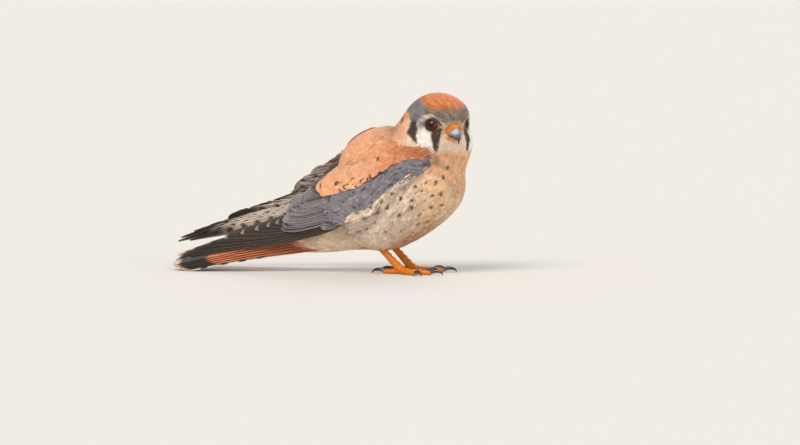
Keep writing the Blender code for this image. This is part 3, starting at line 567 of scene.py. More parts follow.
def finish_of_feather(name, barb_pitch, roughness):
    """Feather keratin: silky, with barbs as fine slanting ridges.

    Barbs are 0.3 to 0.5 mm apart on a real vane, and are drawn at barb_pitch so that they show."""
    material, tree, shader, colour = piece_material(
        name, Roughness=roughness, IOR=1.54, Specular_IOR_Level=0.28, Sheen_Weight=0.25,
        Sheen_Roughness=0.45,
    )
    # tone wanders by a few hundredths over 3 mm, as worn and fresh feathers differ
    place = add_node(tree, "ShaderNodeTexCoord").outputs["Object"]
    wear = add_node(tree, "ShaderNodeTexNoise", {"Vector": place, "Scale": 330.0, "Detail": 3.0})
    tone = add_node(tree, "ShaderNodeMapRange", {"Value": wear.outputs["Fac"], "From Min": 0.3,
                                                 "From Max": 0.7, "To Min": 0.88, "To Max": 1.1})
    worn = add_node(tree, "ShaderNodeVectorMath", {0: colour, "Scale": tone.outputs["Result"]},
                    operation="SCALE")
    tree.links.new(worn.outputs["Vector"], shader.inputs["Base Color"])
    barb_map = add_node(tree, "ShaderNodeUVMap", uv_map="Barbs").outputs["UV"]
    ridges = add_node(tree, "ShaderNodeTexWave",
                      {"Vector": barb_map, "Scale": 2 * math.pi / 20 / barb_pitch, "Distortion": 0.6,
                       "Detail": 1.0, "Detail Scale": 0.4}, wave_type="BANDS", bands_direction="X")
    add_relief(tree, shader, ridges.outputs["Fac"], 0.35, 0.0002)
    return material


# Small body feathers: loose barbs with little shine.
contour_feather = finish_of_feather("contour_feather_keratin", 0.5, 0.72)

SKIN_COLUMNS, SKIN_SHADE = 200, 0.8  # the skin is a little darker than the feathers over it
skin_rows = np.concatenate(
    (np.linspace(0.002, TAIL_CAP, 34, endpoint=False), np.linspace(TAIL_CAP, 1 - CROWN_CAP, 110),
     np.linspace(1 - CROWN_CAP, 0.998, 46)[1:])
)
grid_along, grid_around = round_grid(skin_rows, SKIN_COLUMNS)
skin_grid = body_surface(grid_along.ravel(), grid_around.ravel(), -COAT_DEPTH)
ends = np.stack((skin_grid[:SKIN_COLUMNS].mean(0), skin_grid[-SKIN_COLUMNS:].mean(0)))
skin_points = np.concatenate((skin_grid, ends))
skin_map = np.stack((grid_around.ravel() / (2 * math.pi), grid_along.ravel()), 1)
skin_map = np.concatenate((skin_map, ((0.5, 0.0), (0.5, 1.0))))
skin_grid = skin_grid.reshape(len(skin_rows), SKIN_COLUMNS, 3)
FLESH_NODES = ("head", "neck", "torso", "thigh_left", "thigh_right")
add_piece(
    "skin", skin_points, ring_faces(len(skin_rows), SKIN_COLUMNS), contour_feather,
    FLESH_NODES, plumage(skin_points) * SKIN_SHADE, {"OFBake": skin_map, "Barbs": skin_map * 160.0},
)

# ============================================================ eyes
# A falcon's eye: a dark globe under a clear, wet cornea, in a ring of bare lid. The lid is yellow to
# orange skin, widest in front of the eye, and brown behind.

LID_INNER, LID_OUTER, LID_CORNER = 3.75, 4.2, 1.05  # the corner is how far the lid runs on in front
LID_LIFT, LID_THICK = 0.12, 0.34


def lid_edge(turn):
    """How far from the eye's axis the bare lid ends, by the angle round the eye from straight ahead."""
    return LID_OUTER * (1 + 0.08 * np.cos(2 * turn)) + LID_CORNER * (0.5 + 0.5 * np.cos(turn + 0.1)) ** 14


def ball(rings, columns):
    """Unit ball: rings at polar angle t from the first axis, (cos t, sin t cos a, sin t sin a)."""
    polar, turn = round_grid(np.linspace(0, math.pi, rings + 2)[1:-1], columns)
    ring = np.stack((np.cos(polar), np.sin(polar) * np.cos(turn), np.sin(polar) * np.sin(turn)), -1)
    return np.concatenate((ring.reshape(-1, 3), ((1, 0, 0), (-1, 0, 0)))), ring_faces(rings, columns)


def globe(name, centre, axes, radii, finish, paint, nodes=(), rings=24, columns=32):
    """An ellipsoid with these radii along the rows of axes, painted by its place on the unit ball."""
    local, faces = ball(rings, columns)
    points = np.asarray(centre) + (local * radii) @ np.asarray(axes)
    add_piece(name, points, faces, finish, nodes, paint(local))


# Eyeball under a wet cornea: near black brown, mirror smooth.
eye_wet = piece_material("eyeball_wet_cornea", Roughness=0.18, IOR=1.38, Specular_IOR_Level=0.3,
                         Coat_Weight=0.35, Coat_Roughness=0.04)[0]


def iris(local):
    """Dark brown ring round a black pupil, by the angle from the axis of sight."""
    angle = np.degrees(np.arccos(np.clip(local[:, 0], -1, 1)))
    return painted("#1c0f07", ("#3a2111", band(angle, 34, 12, 10)))


def finish_of_wax(name, roughness, pebble_mm):
    """Bare skin with faint pebbles this far apart; light glows a little way into it."""
    material, tree, shader, _ = piece_material(
        name, Roughness=roughness, IOR=1.42, Subsurface_Weight=0.18, Subsurface_Scale=0.001,
        Subsurface_Radius=(1.0, 0.35, 0.12),
    )
    place = add_node(tree, "ShaderNodeTexCoord").outputs["Object"]
    pebbles = add_node(tree, "ShaderNodeTexVoronoi", {"Vector": place, "Scale": 1000.0 / pebble_mm})
    add_relief(tree, shader, pebbles.outputs["Distance"], 0.4, 0.0001, invert=True)
    return material


# Waxy bare skin of cere, lids and gape: moist, with pebbles about 0.45 mm apart.
wax_skin = finish_of_wax("waxy_bare_skin", 0.42, 0.45)


def lid(name, hand):
    """A ring round the eye: radius from inner to outer, height following the ball and then the face."""
    centre, looks, forwards, rise = eye_frame(hand)
    turn, across = round_grid(np.linspace(0, 2 * math.pi, 56, endpoint=False), 14)
    front = 0.5 + 0.5 * np.cos(turn + 0.1)
    inner = LID_INNER * (1 + 0.1 * np.cos(2 * turn))
    outer = lid_edge(turn)
    middle, half = (inner + outer) / 2, (outer - inner) / 2
    radius = middle - half * np.cos(across)
    seat = np.sqrt(np.clip(EYE_RADIUS**2 - np.clip(radius, 0, 4.9) ** 2, 0.5, None))
    height = seat + LID_LIFT + LID_THICK * np.sin(across) - 0.25 * np.clip(radius - 4.7, 0, None)
    points = (
        centre + looks * height[..., None]
        + forwards * (radius * np.cos(turn))[..., None] + rise * (radius * np.sin(turn))[..., None]
    ).reshape(-1, 3)
    # the outer part of the ring rests on the skin
    buried = np.clip(-0.25 - body_distance(points), 0, 3) * soft(radius, 3.9, 4.6).ravel()
    points = points + looks * (buried * (np.sin(across.ravel()) > -0.4))[:, None]
    rows, columns = turn.shape
    faces = ring_faces(rows + 1, columns, closed=False) % (rows * columns)
    orange = (0.9 * front**12 + 0.45 * soft(-np.sin(turn), 0.0, 0.6)).ravel()
    rim = (1 - soft(radius.ravel() - inner.ravel(), 0.1, 0.45)) * 0.9
    colours = painted("#3a2a20", ("#bd6a26", orange), ("#2a1a12", rim))
    add_piece(name, points, faces, wax_skin, colours=colours)


for eye_name, hand in (("left", 1), ("right", -1)):
    centre, looks, forwards, rise = eye_frame(hand)
    globe("eyeball_" + eye_name, centre, (looks, forwards, rise), (EYE_RADIUS,) * 3, eye_wet,
          iris, ("eye_" + eye_name,), rings=40, columns=48)
    lid("lid_" + eye_name, hand)

# ============================================================ cere, nostrils and bill
# The base of the bill is wrapped in waxy orange skin, the cere, with a round nostril on each side
# that holds a small bony knob. Beyond it the bill is grey horn, hooked, with a tooth behind the hook.


def bent_form(path, widths, heights, side, rings, columns, crest=0.0, tooth=None, boxy=1.0, flat=0.0):
    """A tapered form along a smooth path: an oval ring at each step, widths across, heights up.

    crest squeezes the upper half to a ridge, boxy < 1 squares off the lower one and flat makes it
    shallow; tooth gives (place, half length, depth) of a point that hangs from the lower edge."""
    t, turn = round_grid(np.linspace(0, 1, rings), columns)
    centre, tangent = smooth_path(path, t)
    side = np.asarray(side, float)
    up = unit(np.cross(tangent, side))
    width, height = (np.interp(t, np.linspace(0, 1, len(sizes)), sizes) for sizes in (widths, heights))
    narrow = 1 - crest * np.clip(np.sin(turn), 0, 1)
    below = np.clip(-np.sin(turn) * 6, 0, 1)
    squared = np.sign(np.cos(turn)) * np.abs(np.cos(turn)) ** (1 + (boxy - 1) * below)
    across = squared * width * narrow
    rise = np.sin(turn) * height * (1 - flat * below)
    if tooth:
        place, half, depth = tooth
        rise = rise - depth * np.clip(1 - np.abs(t - place) / half, 0, 1) * np.clip(-np.sin(turn), 0, 1)
    points = centre + side * across[..., None] + up * rise[..., None]
    ends = np.stack((centre[0, 0], centre[-1, 0]))
    return np.concatenate((points.reshape(-1, 3), ends)), ring_faces(rings, columns), t, turn


def capped(colours):
    """Colours of the rings' points, with those of the two end points added."""
    return np.concatenate((colours, colours[:1], colours[-1:]))


HEAD_SIDE, HEAD_AHEAD = (unit(on_head(*step) - HEAD_CENTRE) for step in ((0, 1, 0), (1, 0, 0)))
JOIN_SLANT, BILL_AXIS = 0.66, -2.6  # the cere's joint runs back this far for each step down from the axis


def slanted(points, share):
    """Moves each point ahead by its height above the bill's axis * JOIN_SLANT * share."""
    share = np.concatenate((share.ravel(), share[0, :1], share[-1, :1]))
    rise = points[:, 2] - HEAD_CENTRE[2] - BILL_AXIS
    return points + HEAD_AHEAD * (JOIN_SLANT * rise * share)[:, None]


def in_head(*steps):
    """Places ahead of and above the head's centre, on its midline."""
    return [on_head(ahead, 0.0, up) for ahead, up in steps]


def finish_of_horn(name, roughness):
    """Keratin with a thin gloss, and growth lines about 0.4 mm apart."""
    material, tree, shader, _ = piece_material(name, Roughness=roughness, IOR=1.55, Coat_Weight=0.25,
                                               Coat_Roughness=0.25)
    place = add_node(tree, "ShaderNodeTexCoord").outputs["Object"]
    grain = add_node(tree, "ShaderNodeTexNoise", {"Vector": place, "Scale": 2500.0, "Detail": 2.0})
    add_relief(tree, shader, grain.outputs["Fac"], 0.2, 0.00006)
    return material


# Horn of the bill: satin, worn smooth.
bill_horn = finish_of_horn("bill_keratin", 0.34)

points, faces, t, turn = bent_form(
    in_head((15.5, -3.0), (20.2, -2.9), (23.9, -5.4), (24.4, -10.7)),
    (5.4, 5.4, 5.1, 4.2, 3.1, 1.9, 0.8, 0.25), (3.3, 3.4, 3.4, 3.0, 2.4, 1.6, 0.8, 0.3),
    HEAD_SIDE, 60, 40, crest=0.72, tooth=(0.66, 0.10, 0.7), boxy=0.45, flat=0.05,
)
# painted shade: the lower half of the horn darker; the near-black tip is the horn's own
colours = painted("#888c94", ("#666a72", 0.8 * soft(-np.sin(turn), 0.0, 1.0).ravel()),
                  ("#23211f", soft(t, 0.5, 0.86).ravel()))
add_piece("upper_bill", slanted(points, 1 - soft(t, 0.25, 0.6)), faces, bill_horn,
          ("bill_upper",), capped(colours))

points, faces, t, turn = bent_form(
    in_head((13.0, -6.4), (18.0, -6.9), (22.4, -7.9)), (4.6, 4.5, 4.1, 3.4, 2.1, 0.7),
    (1.5, 1.5, 1.4, 1.2, 0.9, 0.5), HEAD_SIDE, 36, 32,
)
colours = painted("#cf7a2a", ("#7d7a72", soft(t, 0.6, 0.85).ravel()))
add_piece("lower_bill", points, faces, bill_horn, ("bill_lower",), capped(colours))

NOSTRIL = (19.3, -0.3)  # ahead and up of the head's centre
NOSTRIL_RADIUS, NOSTRIL_DEPTH, KNOB_RADIUS = 0.8, 1.1, 0.34
GAPE_RADII = (1.0, 3.9, 0.8)  # the orange fold at the corner of the bill
points, faces, t, turn = bent_form(
    in_head((12.0, -2.3), (16.0, -2.4), (19.9, -2.7)), (5.6, 5.6, 5.6, 5.5, 5.3, 5.0),
    (4.6, 4.6, 4.6, 4.6, 4.5, 4.3), HEAD_SIDE, 70, 96, crest=0.2, boxy=0.7, flat=0.1,
)
points = slanted(points, t)
local = points - HEAD_CENTRE
ahead, left, up = local @ HEAD_AHEAD, local @ HEAD_SIDE, local[:, 2]
near = np.hypot(ahead - NOSTRIL[0], up - NOSTRIL[1])
beside = np.abs(left) > 1.5
pit = (1 - soft(near, 0.3, NOSTRIL_RADIUS)) * beside
rim = band(near, NOSTRIL_RADIUS + 0.15, 0.22, 0.25) * beside
points = points + HEAD_SIDE * (np.sign(left) * (0.18 * rim - NOSTRIL_DEPTH * pit))[:, None]
# painted highlight: the top of the cere paler; painted shade: the nostril's pit near black
colours = painted("#de7f1c", ("#ec9f5c", soft(up, 0.8, 2.2)), ("#2a1408", soft(pit, 0.15, 0.6)))
add_piece("cere", points, faces, wax_skin, ("cere",), colours)
for side_name, hand in (("left", 1), ("right", -1)):
    globe("nostril_knob_" + side_name, on_head(NOSTRIL[0], hand * 3.4, NOSTRIL[1]), np.eye(3),
          (KNOB_RADIUS,) * 3, wax_skin, lambda local: plain("#b9651a", len(local)),
          rings=8, columns=12)
    globe("gape_" + side_name, on_head(16.2, hand * 5.3, -6.1), mass_axes(-30, HEAD_TURN + hand * 14),
          GAPE_RADII, wax_skin, lambda local: plain("#e07a1a", len(local)),
          rings=20, columns=24)

# ============================================================ legs and claws
# Bare shins and toes in bright orange skin, covered in flat scales that run as cross bands down the
# front of the shin and the top of each toe, with rough pads below. Claws are black horn.

FEET = {"right": ((-11.0, 2.0), -4.0), "left": ((11.0, 1.0), 6.0)}
TOES = (  # name, direction from straight ahead, length, claw length
    ("inner", 28.0, 16.0, 8.0), ("middle", -2.0, 22.5, 8.0),
    ("outer", -34.0, 17.5, 7.0), ("hind", 176.0, 12.0, 8.5),
)
TOE_SIZES = np.array((1.2, 1.05, 1.16, 0.98, 1.1, 0.92, 1.08, 0.95, 0.55))  # pads and joints
TOE_RADIUS, CLAW_GAP, ANKLE = 1.6, 0.4, 3.6  # ankle is the height of the shin's lower end
HEEL_BACK, HEEL_RISE = 26.0, 27.0
SCUTE_MM = 1.7  # length of one cross band

# Scaled skin of shins and toes: waxy, grained about every 0.8 mm.
leg_skin = finish_of_wax("scaled_leg_skin", 0.4, 0.8)
# Claw horn: dark, hard, polished by use.
claw_horn = finish_of_horn("claw_keratin", 0.22)


def scaled_tube(path, widths, heights, side, rings, columns, length):
    """A toe or shin: an oval tube whose upper side rises in overlapping bands, a saw tooth a band."""
    points, faces, t, turn = bent_form(path, widths, heights, side, rings, columns)
    grid = points[:-2].reshape(rings, columns, 3)
    centre = grid.mean(1, keepdims=True)
    tooth = np.mod(t * length / SCUTE_MM, 1.0)
    top = np.clip(np.sin(turn) + 0.45, 0, 1.2)
    lobes = 0.10 * np.clip(-np.sin(turn), 0, 1) * np.sin(t * length / SCUTE_MM * math.pi)
    grow = 1 + 0.085 * top * (soft(tooth, 0.0, 0.12) * (1 - 0.7 * tooth)) + lobes
    grid = centre + (grid - centre) * grow[..., None]
    points = np.concatenate((grid.reshape(-1, 3), points[-2:]))
    # painted shade: darker in the groove at the foot of each band, and on the underside
    groove = (1 - soft(tooth, 0.0, 0.16)) * np.clip(top, 0, 1)
    colours = painted("#d87b14", ("#98490d", 0.8 * groove.ravel()),
                      ("#bd6716", 0.6 * soft(-np.sin(turn), 0.2, 0.9).ravel()))
    return points, outwards(points, faces), capped(colours)


def joined(parts):
    """Several (points, faces, colours) as one, with the face numbers moved on."""
    starts = np.cumsum([0] + [len(points) for points, _, _ in parts[:-1]])
    return (
        np.concatenate([points for points, _, _ in parts]),
        np.concatenate([faces + start for start, (_, faces, _) in zip(starts, parts)]),
        np.concatenate([colours for _, _, colours in parts]),
    )


for foot_name, ((foot_x, foot_y), foot_turn) in FEET.items():
    hand = 1 if foot_name == "left" else -1
    foot = np.array((foot_x, foot_y, 0.0))
    ankle = foot + (0.0, 0.0, ANKLE)
    heel = ankle + (hand * 1.5, HEEL_BACK, HEEL_RISE)
    path = [ankle - unit(heel - ankle) * 1.5, *(ankle + (heel - ankle) * t for t in (0.45, 0.86))]
    parts = [scaled_tube(path, (2.7, 2.3, 2.05, 2.1, 2.3, 2.5), (2.8, 2.45, 2.2, 2.2, 2.4, 2.5),
                         (1, 0, 0), 90, 28, 32.0)]
    for toe_name, angle, length, claw in TOES:
        a = math.radians(foot_turn - hand * angle)
        way = np.array((math.sin(a), -math.cos(a), 0.0))
        side = np.array((math.cos(a), math.sin(a), 0.0))
        end = foot + (0.0, 0.0, TOE_RADIUS - 0.2) + way * length
        thick = TOE_RADIUS * (0.88 if toe_name == "inner" else 1.0) * TOE_SIZES
        path = [foot + (0.0, 0.0, 3.0) - way, foot + (0.0, 0.0, TOE_RADIUS + 0.15) + way * length * 0.45,
                end + way * 0.4]
        parts.append(scaled_tube(path, thick, thick * 1.03, side, 72, 24, length))
        base = end + way * (CLAW_GAP - 0.9) + (0.0, 0.0, 0.5)
        points, faces, t, turn = bent_form(
            [base, base + way * claw * 0.5 + (0, 0, 0.95), base + way * claw * 0.92 + (0, 0, 0.2),
             base + way * (claw * 0.98 + 0.5) + (0, 0, -1.75)],
            (1.15, 1.1, 0.95, 0.75, 0.5, 0.12), (1.3, 1.25, 1.05, 0.8, 0.5, 0.12), side, 32, 20,
            crest=0.15,
        )
        points[:, 2] = np.maximum(points[:, 2], 0.03)  # no point goes through the floor
        colours = painted("#54504e", ("#1c1a1a", soft(t, 0.0, 0.5).ravel()))
        add_piece(f"talon_{foot_name}_{toe_name}", points, faces, claw_horn,
                  (f"claw_{foot_name}_{toe_name}",), capped(colours))
    points, faces, colours = joined(parts)
    points[:, 2] = np.maximum(points[:, 2], 0.02)
    add_piece("shin_and_toes_" + foot_name, points, faces, leg_skin, ("leg_" + foot_name,),
              colours)

# ============================================================ body coat
# Thousands of small contour feathers, each a thin bowed vane rooted in the skin, lie from the bill
# backwards like roof tiles. Loose barbs stand between them and break up their edges. Both are
# shortest on the face and longest on the flanks and tail coverts.

VANE_ROWS, VANE_HALF = (0.0, 0.34, 0.68, 0.92, 1.0), (0.40, 0.86, 1.0, 0.62, 0.0)
BARB_ROWS, BARB_HALF = (0.0, 0.5, 1.0), (0.7, 1.0, 0.0)
SHIN_TOP = (11.6, 15.5, 17.5)  # where the thighs' coat ends, on the left side
PLASTIC = (0.7548776662, 0.5698402910)  # powers of the plastic number; their steps fill a square evenly


def sown(weights, count, seed):
    """Evenly spread places on the skin's grid, denser where the weights are high.

    One side of an evenly filled square is read through the running sum of the rings' weights, the
    other through that of the ring's own cells."""
    first, second = (np.mod((np.arange(count) + seed) * step, 1) for step in PLASTIC)
    rings = np.concatenate(((0.0,), np.cumsum(weights.sum(1))))
    row = np.interp(first, rings / rings[-1], np.arange(len(rings)))
    r = np.minimum(row.astype(int), len(weights) - 1)
    cells = np.cumsum(weights, 1) / weights.sum(1, keepdims=True)
    cells = np.concatenate((np.zeros((len(cells), 1)), cells), 1)[r]
    c = np.minimum((cells[:, 1:] < second[:, None]).sum(1), weights.shape[1] - 1)
    low, high = cells[np.arange(count), c], cells[np.arange(count), c + 1]
    return row, c + (second - low) / (high - low + 1e-12)


def on_skin(row, column):
    """The skin's place, and its unwrapped place, between four points of the grid."""
    r = np.minimum(row.astype(int), skin_grid.shape[0] - 2)
    c = column.astype(int) % SKIN_COLUMNS
    fr, fc = (row - r)[:, None], (column - np.floor(column))[:, None]
    beside = (c + 1) % SKIN_COLUMNS
    near = skin_grid[r, c] * (1 - fc) + skin_grid[r, beside] * fc
    far = skin_grid[r + 1, c] * (1 - fc) + skin_grid[r + 1, beside] * fc
    along = np.interp(row, np.arange(len(skin_rows)), skin_rows)
    return near * (1 - fr) + far * fr, np.stack((column / SKIN_COLUMNS, along), 1)


def coat_way(points, normals, along):
    """The lie of the coat: away from the bill on the face, down the spine behind, in the skin's plane."""
    _, tangent = spine_at(along)
    from_bill = points - BILL_ROOT
    face = 1 - soft(np.linalg.norm(from_bill, axis=1), 20, 44)
    way = unit(-tangent) * (1 - face)[:, None] + unit(from_bill) * face[:, None]
    return unit(way - normals * np.einsum("ij,ij->i", way, normals)[:, None])


def coat_length(points):
    """Feather length in mm: 2 at the bill, 4 on the crown, 9 on the body, less at the shins."""
    x, y, z = points.T
    from_bill = np.linalg.norm(points - BILL_ROOT, axis=1)
    length = np.interp(from_bill, (4, 12, 22, 34, 52, 80), (1.7, 2.6, 3.6, 5.0, 8.0, 9.5))
    length = length * (1 + 0.35 * soft(y, 25, 50))
    from_shin = np.linalg.norm(np.stack((np.abs(x), y, z), 1) - SHIN_TOP, axis=1)
    return length * np.interp(from_shin, (3, 14), (0.45, 1.0))


def vane_faces(rows):
    """Triangles of one small feather: left, middle and right points a row, and one at the tip."""
    faces = []
    for j in range(rows - 2):
        left, middle, right, step = 3 * j, 3 * j + 1, 3 * j + 2, 3
        faces += [(left, middle, middle + step), (left, middle + step, left + step),
                  (middle, right, right + step), (middle, right + step, middle + step),
                  (left, left + step, right + step), (left, right + step, right)]
    left, middle, right, tip = 3 * rows - 6, 3 * rows - 5, 3 * rows - 4, 3 * rows - 3
    faces += [(left, middle, tip), (middle, right, tip), (left, tip, right), (0, 2, 1)]
    return np.array(faces)


def leaf_points(left, centre, right):
    """Points of each small feather: left, middle and right in every row but the last, then the tip."""
    body = np.stack((left, centre, right), 2)[:, :-1].reshape(len(centre), -1, 3)
    return np.concatenate((body, centre[:, -1:]), 1)


def small_feathers(roots, normals, ways, lengths, widths, heights, rows, halves, bow):
    """Thin bowed vanes: row u lies at root + way * length * u, moved to its height over the body.

    Each row has a left, middle and right point, with the sides bow widths lower."""
    centre = roots[:, None] + ways[:, None] * (lengths[:, None] * np.array(rows))[..., None]
    for _ in range(2):
        off = body_distance(centre.reshape(-1, 3)).reshape(heights.shape) - heights
        centre = centre - normals[:, None] * np.clip(off, -1.5, 1.5)[..., None]
    half = (widths[:, None] * np.array(halves) / 2)[..., None]
    side = np.cross(normals, ways)[:, None] * half
    lower = normals[:, None] * half * bow
    return leaf_points(centre - side - lower, centre, centre + side - lower)


def by_point(rows, across=(1.0, 1.0, 1.0), tip=1.0):
    """A value for each point of a small feather: its row's, times one for left, middle or right."""
    return np.concatenate((np.repeat(rows[:-1], 3) * np.tile(across, len(rows) - 1), (rows[-1] * tip,)))


def leaning(ups, sides, rows):
    """Shading normals of small feathers: the surface's own, leaning out a little to each side."""
    lean = by_point(np.ones(len(rows)), (-0.22, 0.0, 0.22), 0.0)
    return unit(ups[:, None] + sides[:, None] * lean[:, None]).reshape(-1, 3)


def many(points, faces_one):
    """(n, v, 3) points of n like things as one list, with each one's triangles."""
    count, size = points.shape[:2]
    faces = faces_one[None] + (np.arange(count) * size)[:, None, None]
    return points.reshape(-1, 3), faces.reshape(-1, 3)


def coat_maps(rows, lengths, widths, halves, unwrapped):
    """Bake map: a patch 0.003 across at the root's unwrapped place. Barb map: millimetres on the vane."""
    u, side = by_point(rows), (-1.0, 0.0, 1.0)
    patch = np.stack((by_point(np.ones(len(rows)), side, 0.0), 2 * u - 1), 1) * 0.0015
    wide = widths[:, None] / 2 * by_point(halves, side, 0.0)
    barbs = np.stack((lengths[:, None] * u - 1.2 * np.abs(wide), wide), -1)
    return {"OFBake": np.clip(unwrapped[:, None] + patch, 0.0, 1.0).reshape(-1, 2),
            "Barbs": barbs.reshape(-1, 2)}


def clear_of_eyes(roots, ways, lengths):
    """Lengths cut so that no feather runs onto an eye; 0 where one would be rooted there."""
    for hand in (-1, 1):
        centre, looks, forwards, rise = eye_frame(hand)
        (for_root, root_room), (for_tip, tip_room) = (
            (np.hypot((place - centre) @ forwards, (place - centre) @ rise),
             lid_edge(np.arctan2((place - centre) @ rise, (place - centre) @ forwards)))
            for place in (roots, roots + ways * lengths[:, None])
        )
        facing = (roots - centre) @ looks > 0
        share = np.clip((for_root - root_room) / (for_root - for_tip + 1e-6), 0, 1)
        cut = facing & (for_tip < tip_room + 0.1)
        lengths = np.where(cut, lengths * share, lengths)
        lengths = np.where(facing & (for_root < root_room - 0.1), 0, lengths)
    return lengths


def turned(ways, normals, angles):
    """Ways turned in the skin's plane by each angle in radians."""
    side = np.cross(normals, ways)
    return ways * np.cos(angles)[:, None] + side * np.sin(angles)[:, None]


BILL_START, BILL_HEIGHT, BILL_CLEAR = 13.5, -3.6, 5.4  # no feather is rooted on the bill
SHORTEST, BARE_END = 0.7, 0.035  # shorter ones are left out, as are those at the tail root's end
TONE, EVEN_ABOVE, BODY_TONE = 0.05, 84.0, 2.4  # feathers differ more in tone below this height
RAGGED_ABOVE, BODY_RAGGED = 74.0, 0.3  # and their markings have cleaner edges below this one
COAT_PIECES = (  # name, slot, and the share of the coat from the tail root (0) to the crown (1)
    ("tail_covert", "body_feathers", 0.0, 0.16), ("belly", "body_feathers", 0.16, 0.34),
    ("breast_and_back", "body_feathers", 0.34, 0.56), ("neck", "throat_feathers", 0.56, 0.70),
    ("face", "head_feathers", 0.70, 0.84), ("crown", "head_feathers", 0.84, 1.01),
)
rng = np.random.default_rng(11)
down_grid = skin_grid[1:] - skin_grid[:-1]
across_grid = np.roll(skin_grid, -1, 1) - skin_grid
cell_area = np.linalg.norm(np.cross(down_grid, across_grid[:-1]), axis=-1)
cell_length = coat_length(skin_grid.reshape(-1, 3)).reshape(skin_grid.shape[:2])[:-1]


def grow_coat(kind, count, seed, density_power, rows, halves, length_share, width_share, sink, lift,
              bow, sway, edge_dark, ragged):
    """One layer of the coat all over the skin, cut into the named pieces.

    Height over the skin's outline at row u is -depth - sink, rising to stand_up with u ^ 0.75."""
    row, column = sown(cell_area / cell_length**density_power, count, seed)
    roots, unwrapped = on_skin(row, column)
    normals = body_normal(roots)
    ways = coat_way(roots, normals, unwrapped[:, 1])
    ways = turned(ways, normals, rng.normal(0, sway, count))
    lengths = coat_length(roots) * length_share * rng.uniform(0.8, 1.15, count)
    lengths = clear_of_eyes(roots, ways, lengths)
    _, ahead, left, up = head_angles(roots)
    on_bill = (ahead > BILL_START) & (np.hypot(left, up - BILL_HEIGHT) < BILL_CLEAR)
    keep = (lengths > SHORTEST) & ~on_bill & (unwrapped[:, 1] > BARE_END)
    roots, normals, ways, lengths = roots[keep], normals[keep], ways[keep], lengths[keep]
    unwrapped = unwrapped[keep]
    widths = lengths * width_share * rng.uniform(0.8, 1.2, len(roots))
    u = np.array(rows)
    stand_up = lift * rng.uniform(0.3, 1.0, len(roots)) * np.clip(lengths / 6, 0.25, 1.2)
    heights = -COAT_DEPTH - sink + (stand_up[:, None] + COAT_DEPTH + sink) * u**0.75
    points = small_feathers(roots, normals, ways, lengths, widths, heights, rows, halves, bow)
    # each feather reads the markings a little way from itself, so that their edges are ragged
    spread = np.where(roots[:, 2:] > EVEN_ABOVE, 1.0, BODY_TONE)
    tone = 1 + rng.normal(0.0, TONE, len(roots))[:, None] * spread
    stray = np.clip(lengths / 6, 0.4, 1.0) * np.where(roots[:, 2] > RAGGED_ABOVE, 1.0, BODY_RAGGED)
    moved = points + rng.normal(0, ragged, (len(roots), 1, 3)) * stray[:, None, None]
    read = plumage(moved.reshape(-1, 3)).reshape(points.shape) * tone[:, None]
    shade = by_point(np.interp(u, (0, 0.35, 0.75, 1), (0.8, 0.9, 0.98, 1.03)), (1.0, edge_dark, 1.0))
    colours = read * shade[:, None]
    for name, slot, start, end in COAT_PIECES:
        mine = (unwrapped[:, 1] >= start) & (unwrapped[:, 1] < end)
        flat, faces = many(points[mine], vane_faces(len(rows)))
        add_piece(name + "_" + kind, flat, faces, contour_feather, (), colours[mine].reshape(-1, 3),
                  coat_maps(rows, lengths[mine], widths[mine], halves, unwrapped[mine]),
                  normals=leaning(normals[mine], np.cross(normals, ways)[mine], rows))


grow_coat("feathers", 15000, 0, 1.6, VANE_ROWS, VANE_HALF, length_share=1.0, width_share=0.42, sink=0.25,
          lift=0.20, bow=0.10, sway=0.07, edge_dark=0.95, ragged=0.3)
grow_coat("barbs", 70000, 77, 1.4, BARB_ROWS, BARB_HALF, length_share=0.9, width_share=0.05, sink=0.1,
          lift=0.30, bow=0.3, sway=0.09, edge_dark=1.0, ragged=0.5)

# ============================================================ wings
# Each folded wing is ten primaries, the secondaries tucked under the tertials, and rows of coverts
# that overlap them like tiles. Every vane has a shaft, a narrow outer web and a wide inner one.

WING_CHORD = 178.0
WINGS = (  # hand, wrist and wing tip (the left's are mirrored), breadth, how far the lower edge hangs
    ("right", 1, (-25.0, -11.0, 63.0), (-16.0, 152.0, 6.5), 0.84, 15.0),
    ("left", -1, (-24.5, -6.0, 64.0), (-11.0, 166.0, 14.5), 0.92, 8.0),
)
WING_OUT, WING_WRAP, WING_BULGE, SAG_TUCK = (-0.95, 0.0, 0.30), 50.0, 3.0, 0.3
BULGE_END, NOSE_START, NOSE_BEND = 115.0, 4.0, 0.018  # the front curves in round the breast
PRIMARY_TIPS = (  # share of the chord, and distance from the leading edge, outermost first
    (0.955, 0.5), (1.0, 2.0), (0.985, 4.0), (0.93, 6.0), (0.86, 7.8),
    (0.79, 9.4), (0.72, 10.8), (0.66, 12.0), (0.61, 13.0), (0.57, 13.8),
)
PRIMARY_ROOT, PRIMARY_STEP = np.array((36.0, 3.0, 0.4)), np.array((-3.2, 0.8, 0.44))  # a, b and lift
PRIMARY_WIDTH, PRIMARY_SUNK, POINTED = 11.5, 2.5, 5  # the five outermost are pointed
ACROSS = np.array((-1, -0.86, -0.62, -0.36, -0.13, -0.055, 0, 0.055, 0.13, 0.36, 0.6, 0.82, 1.0))


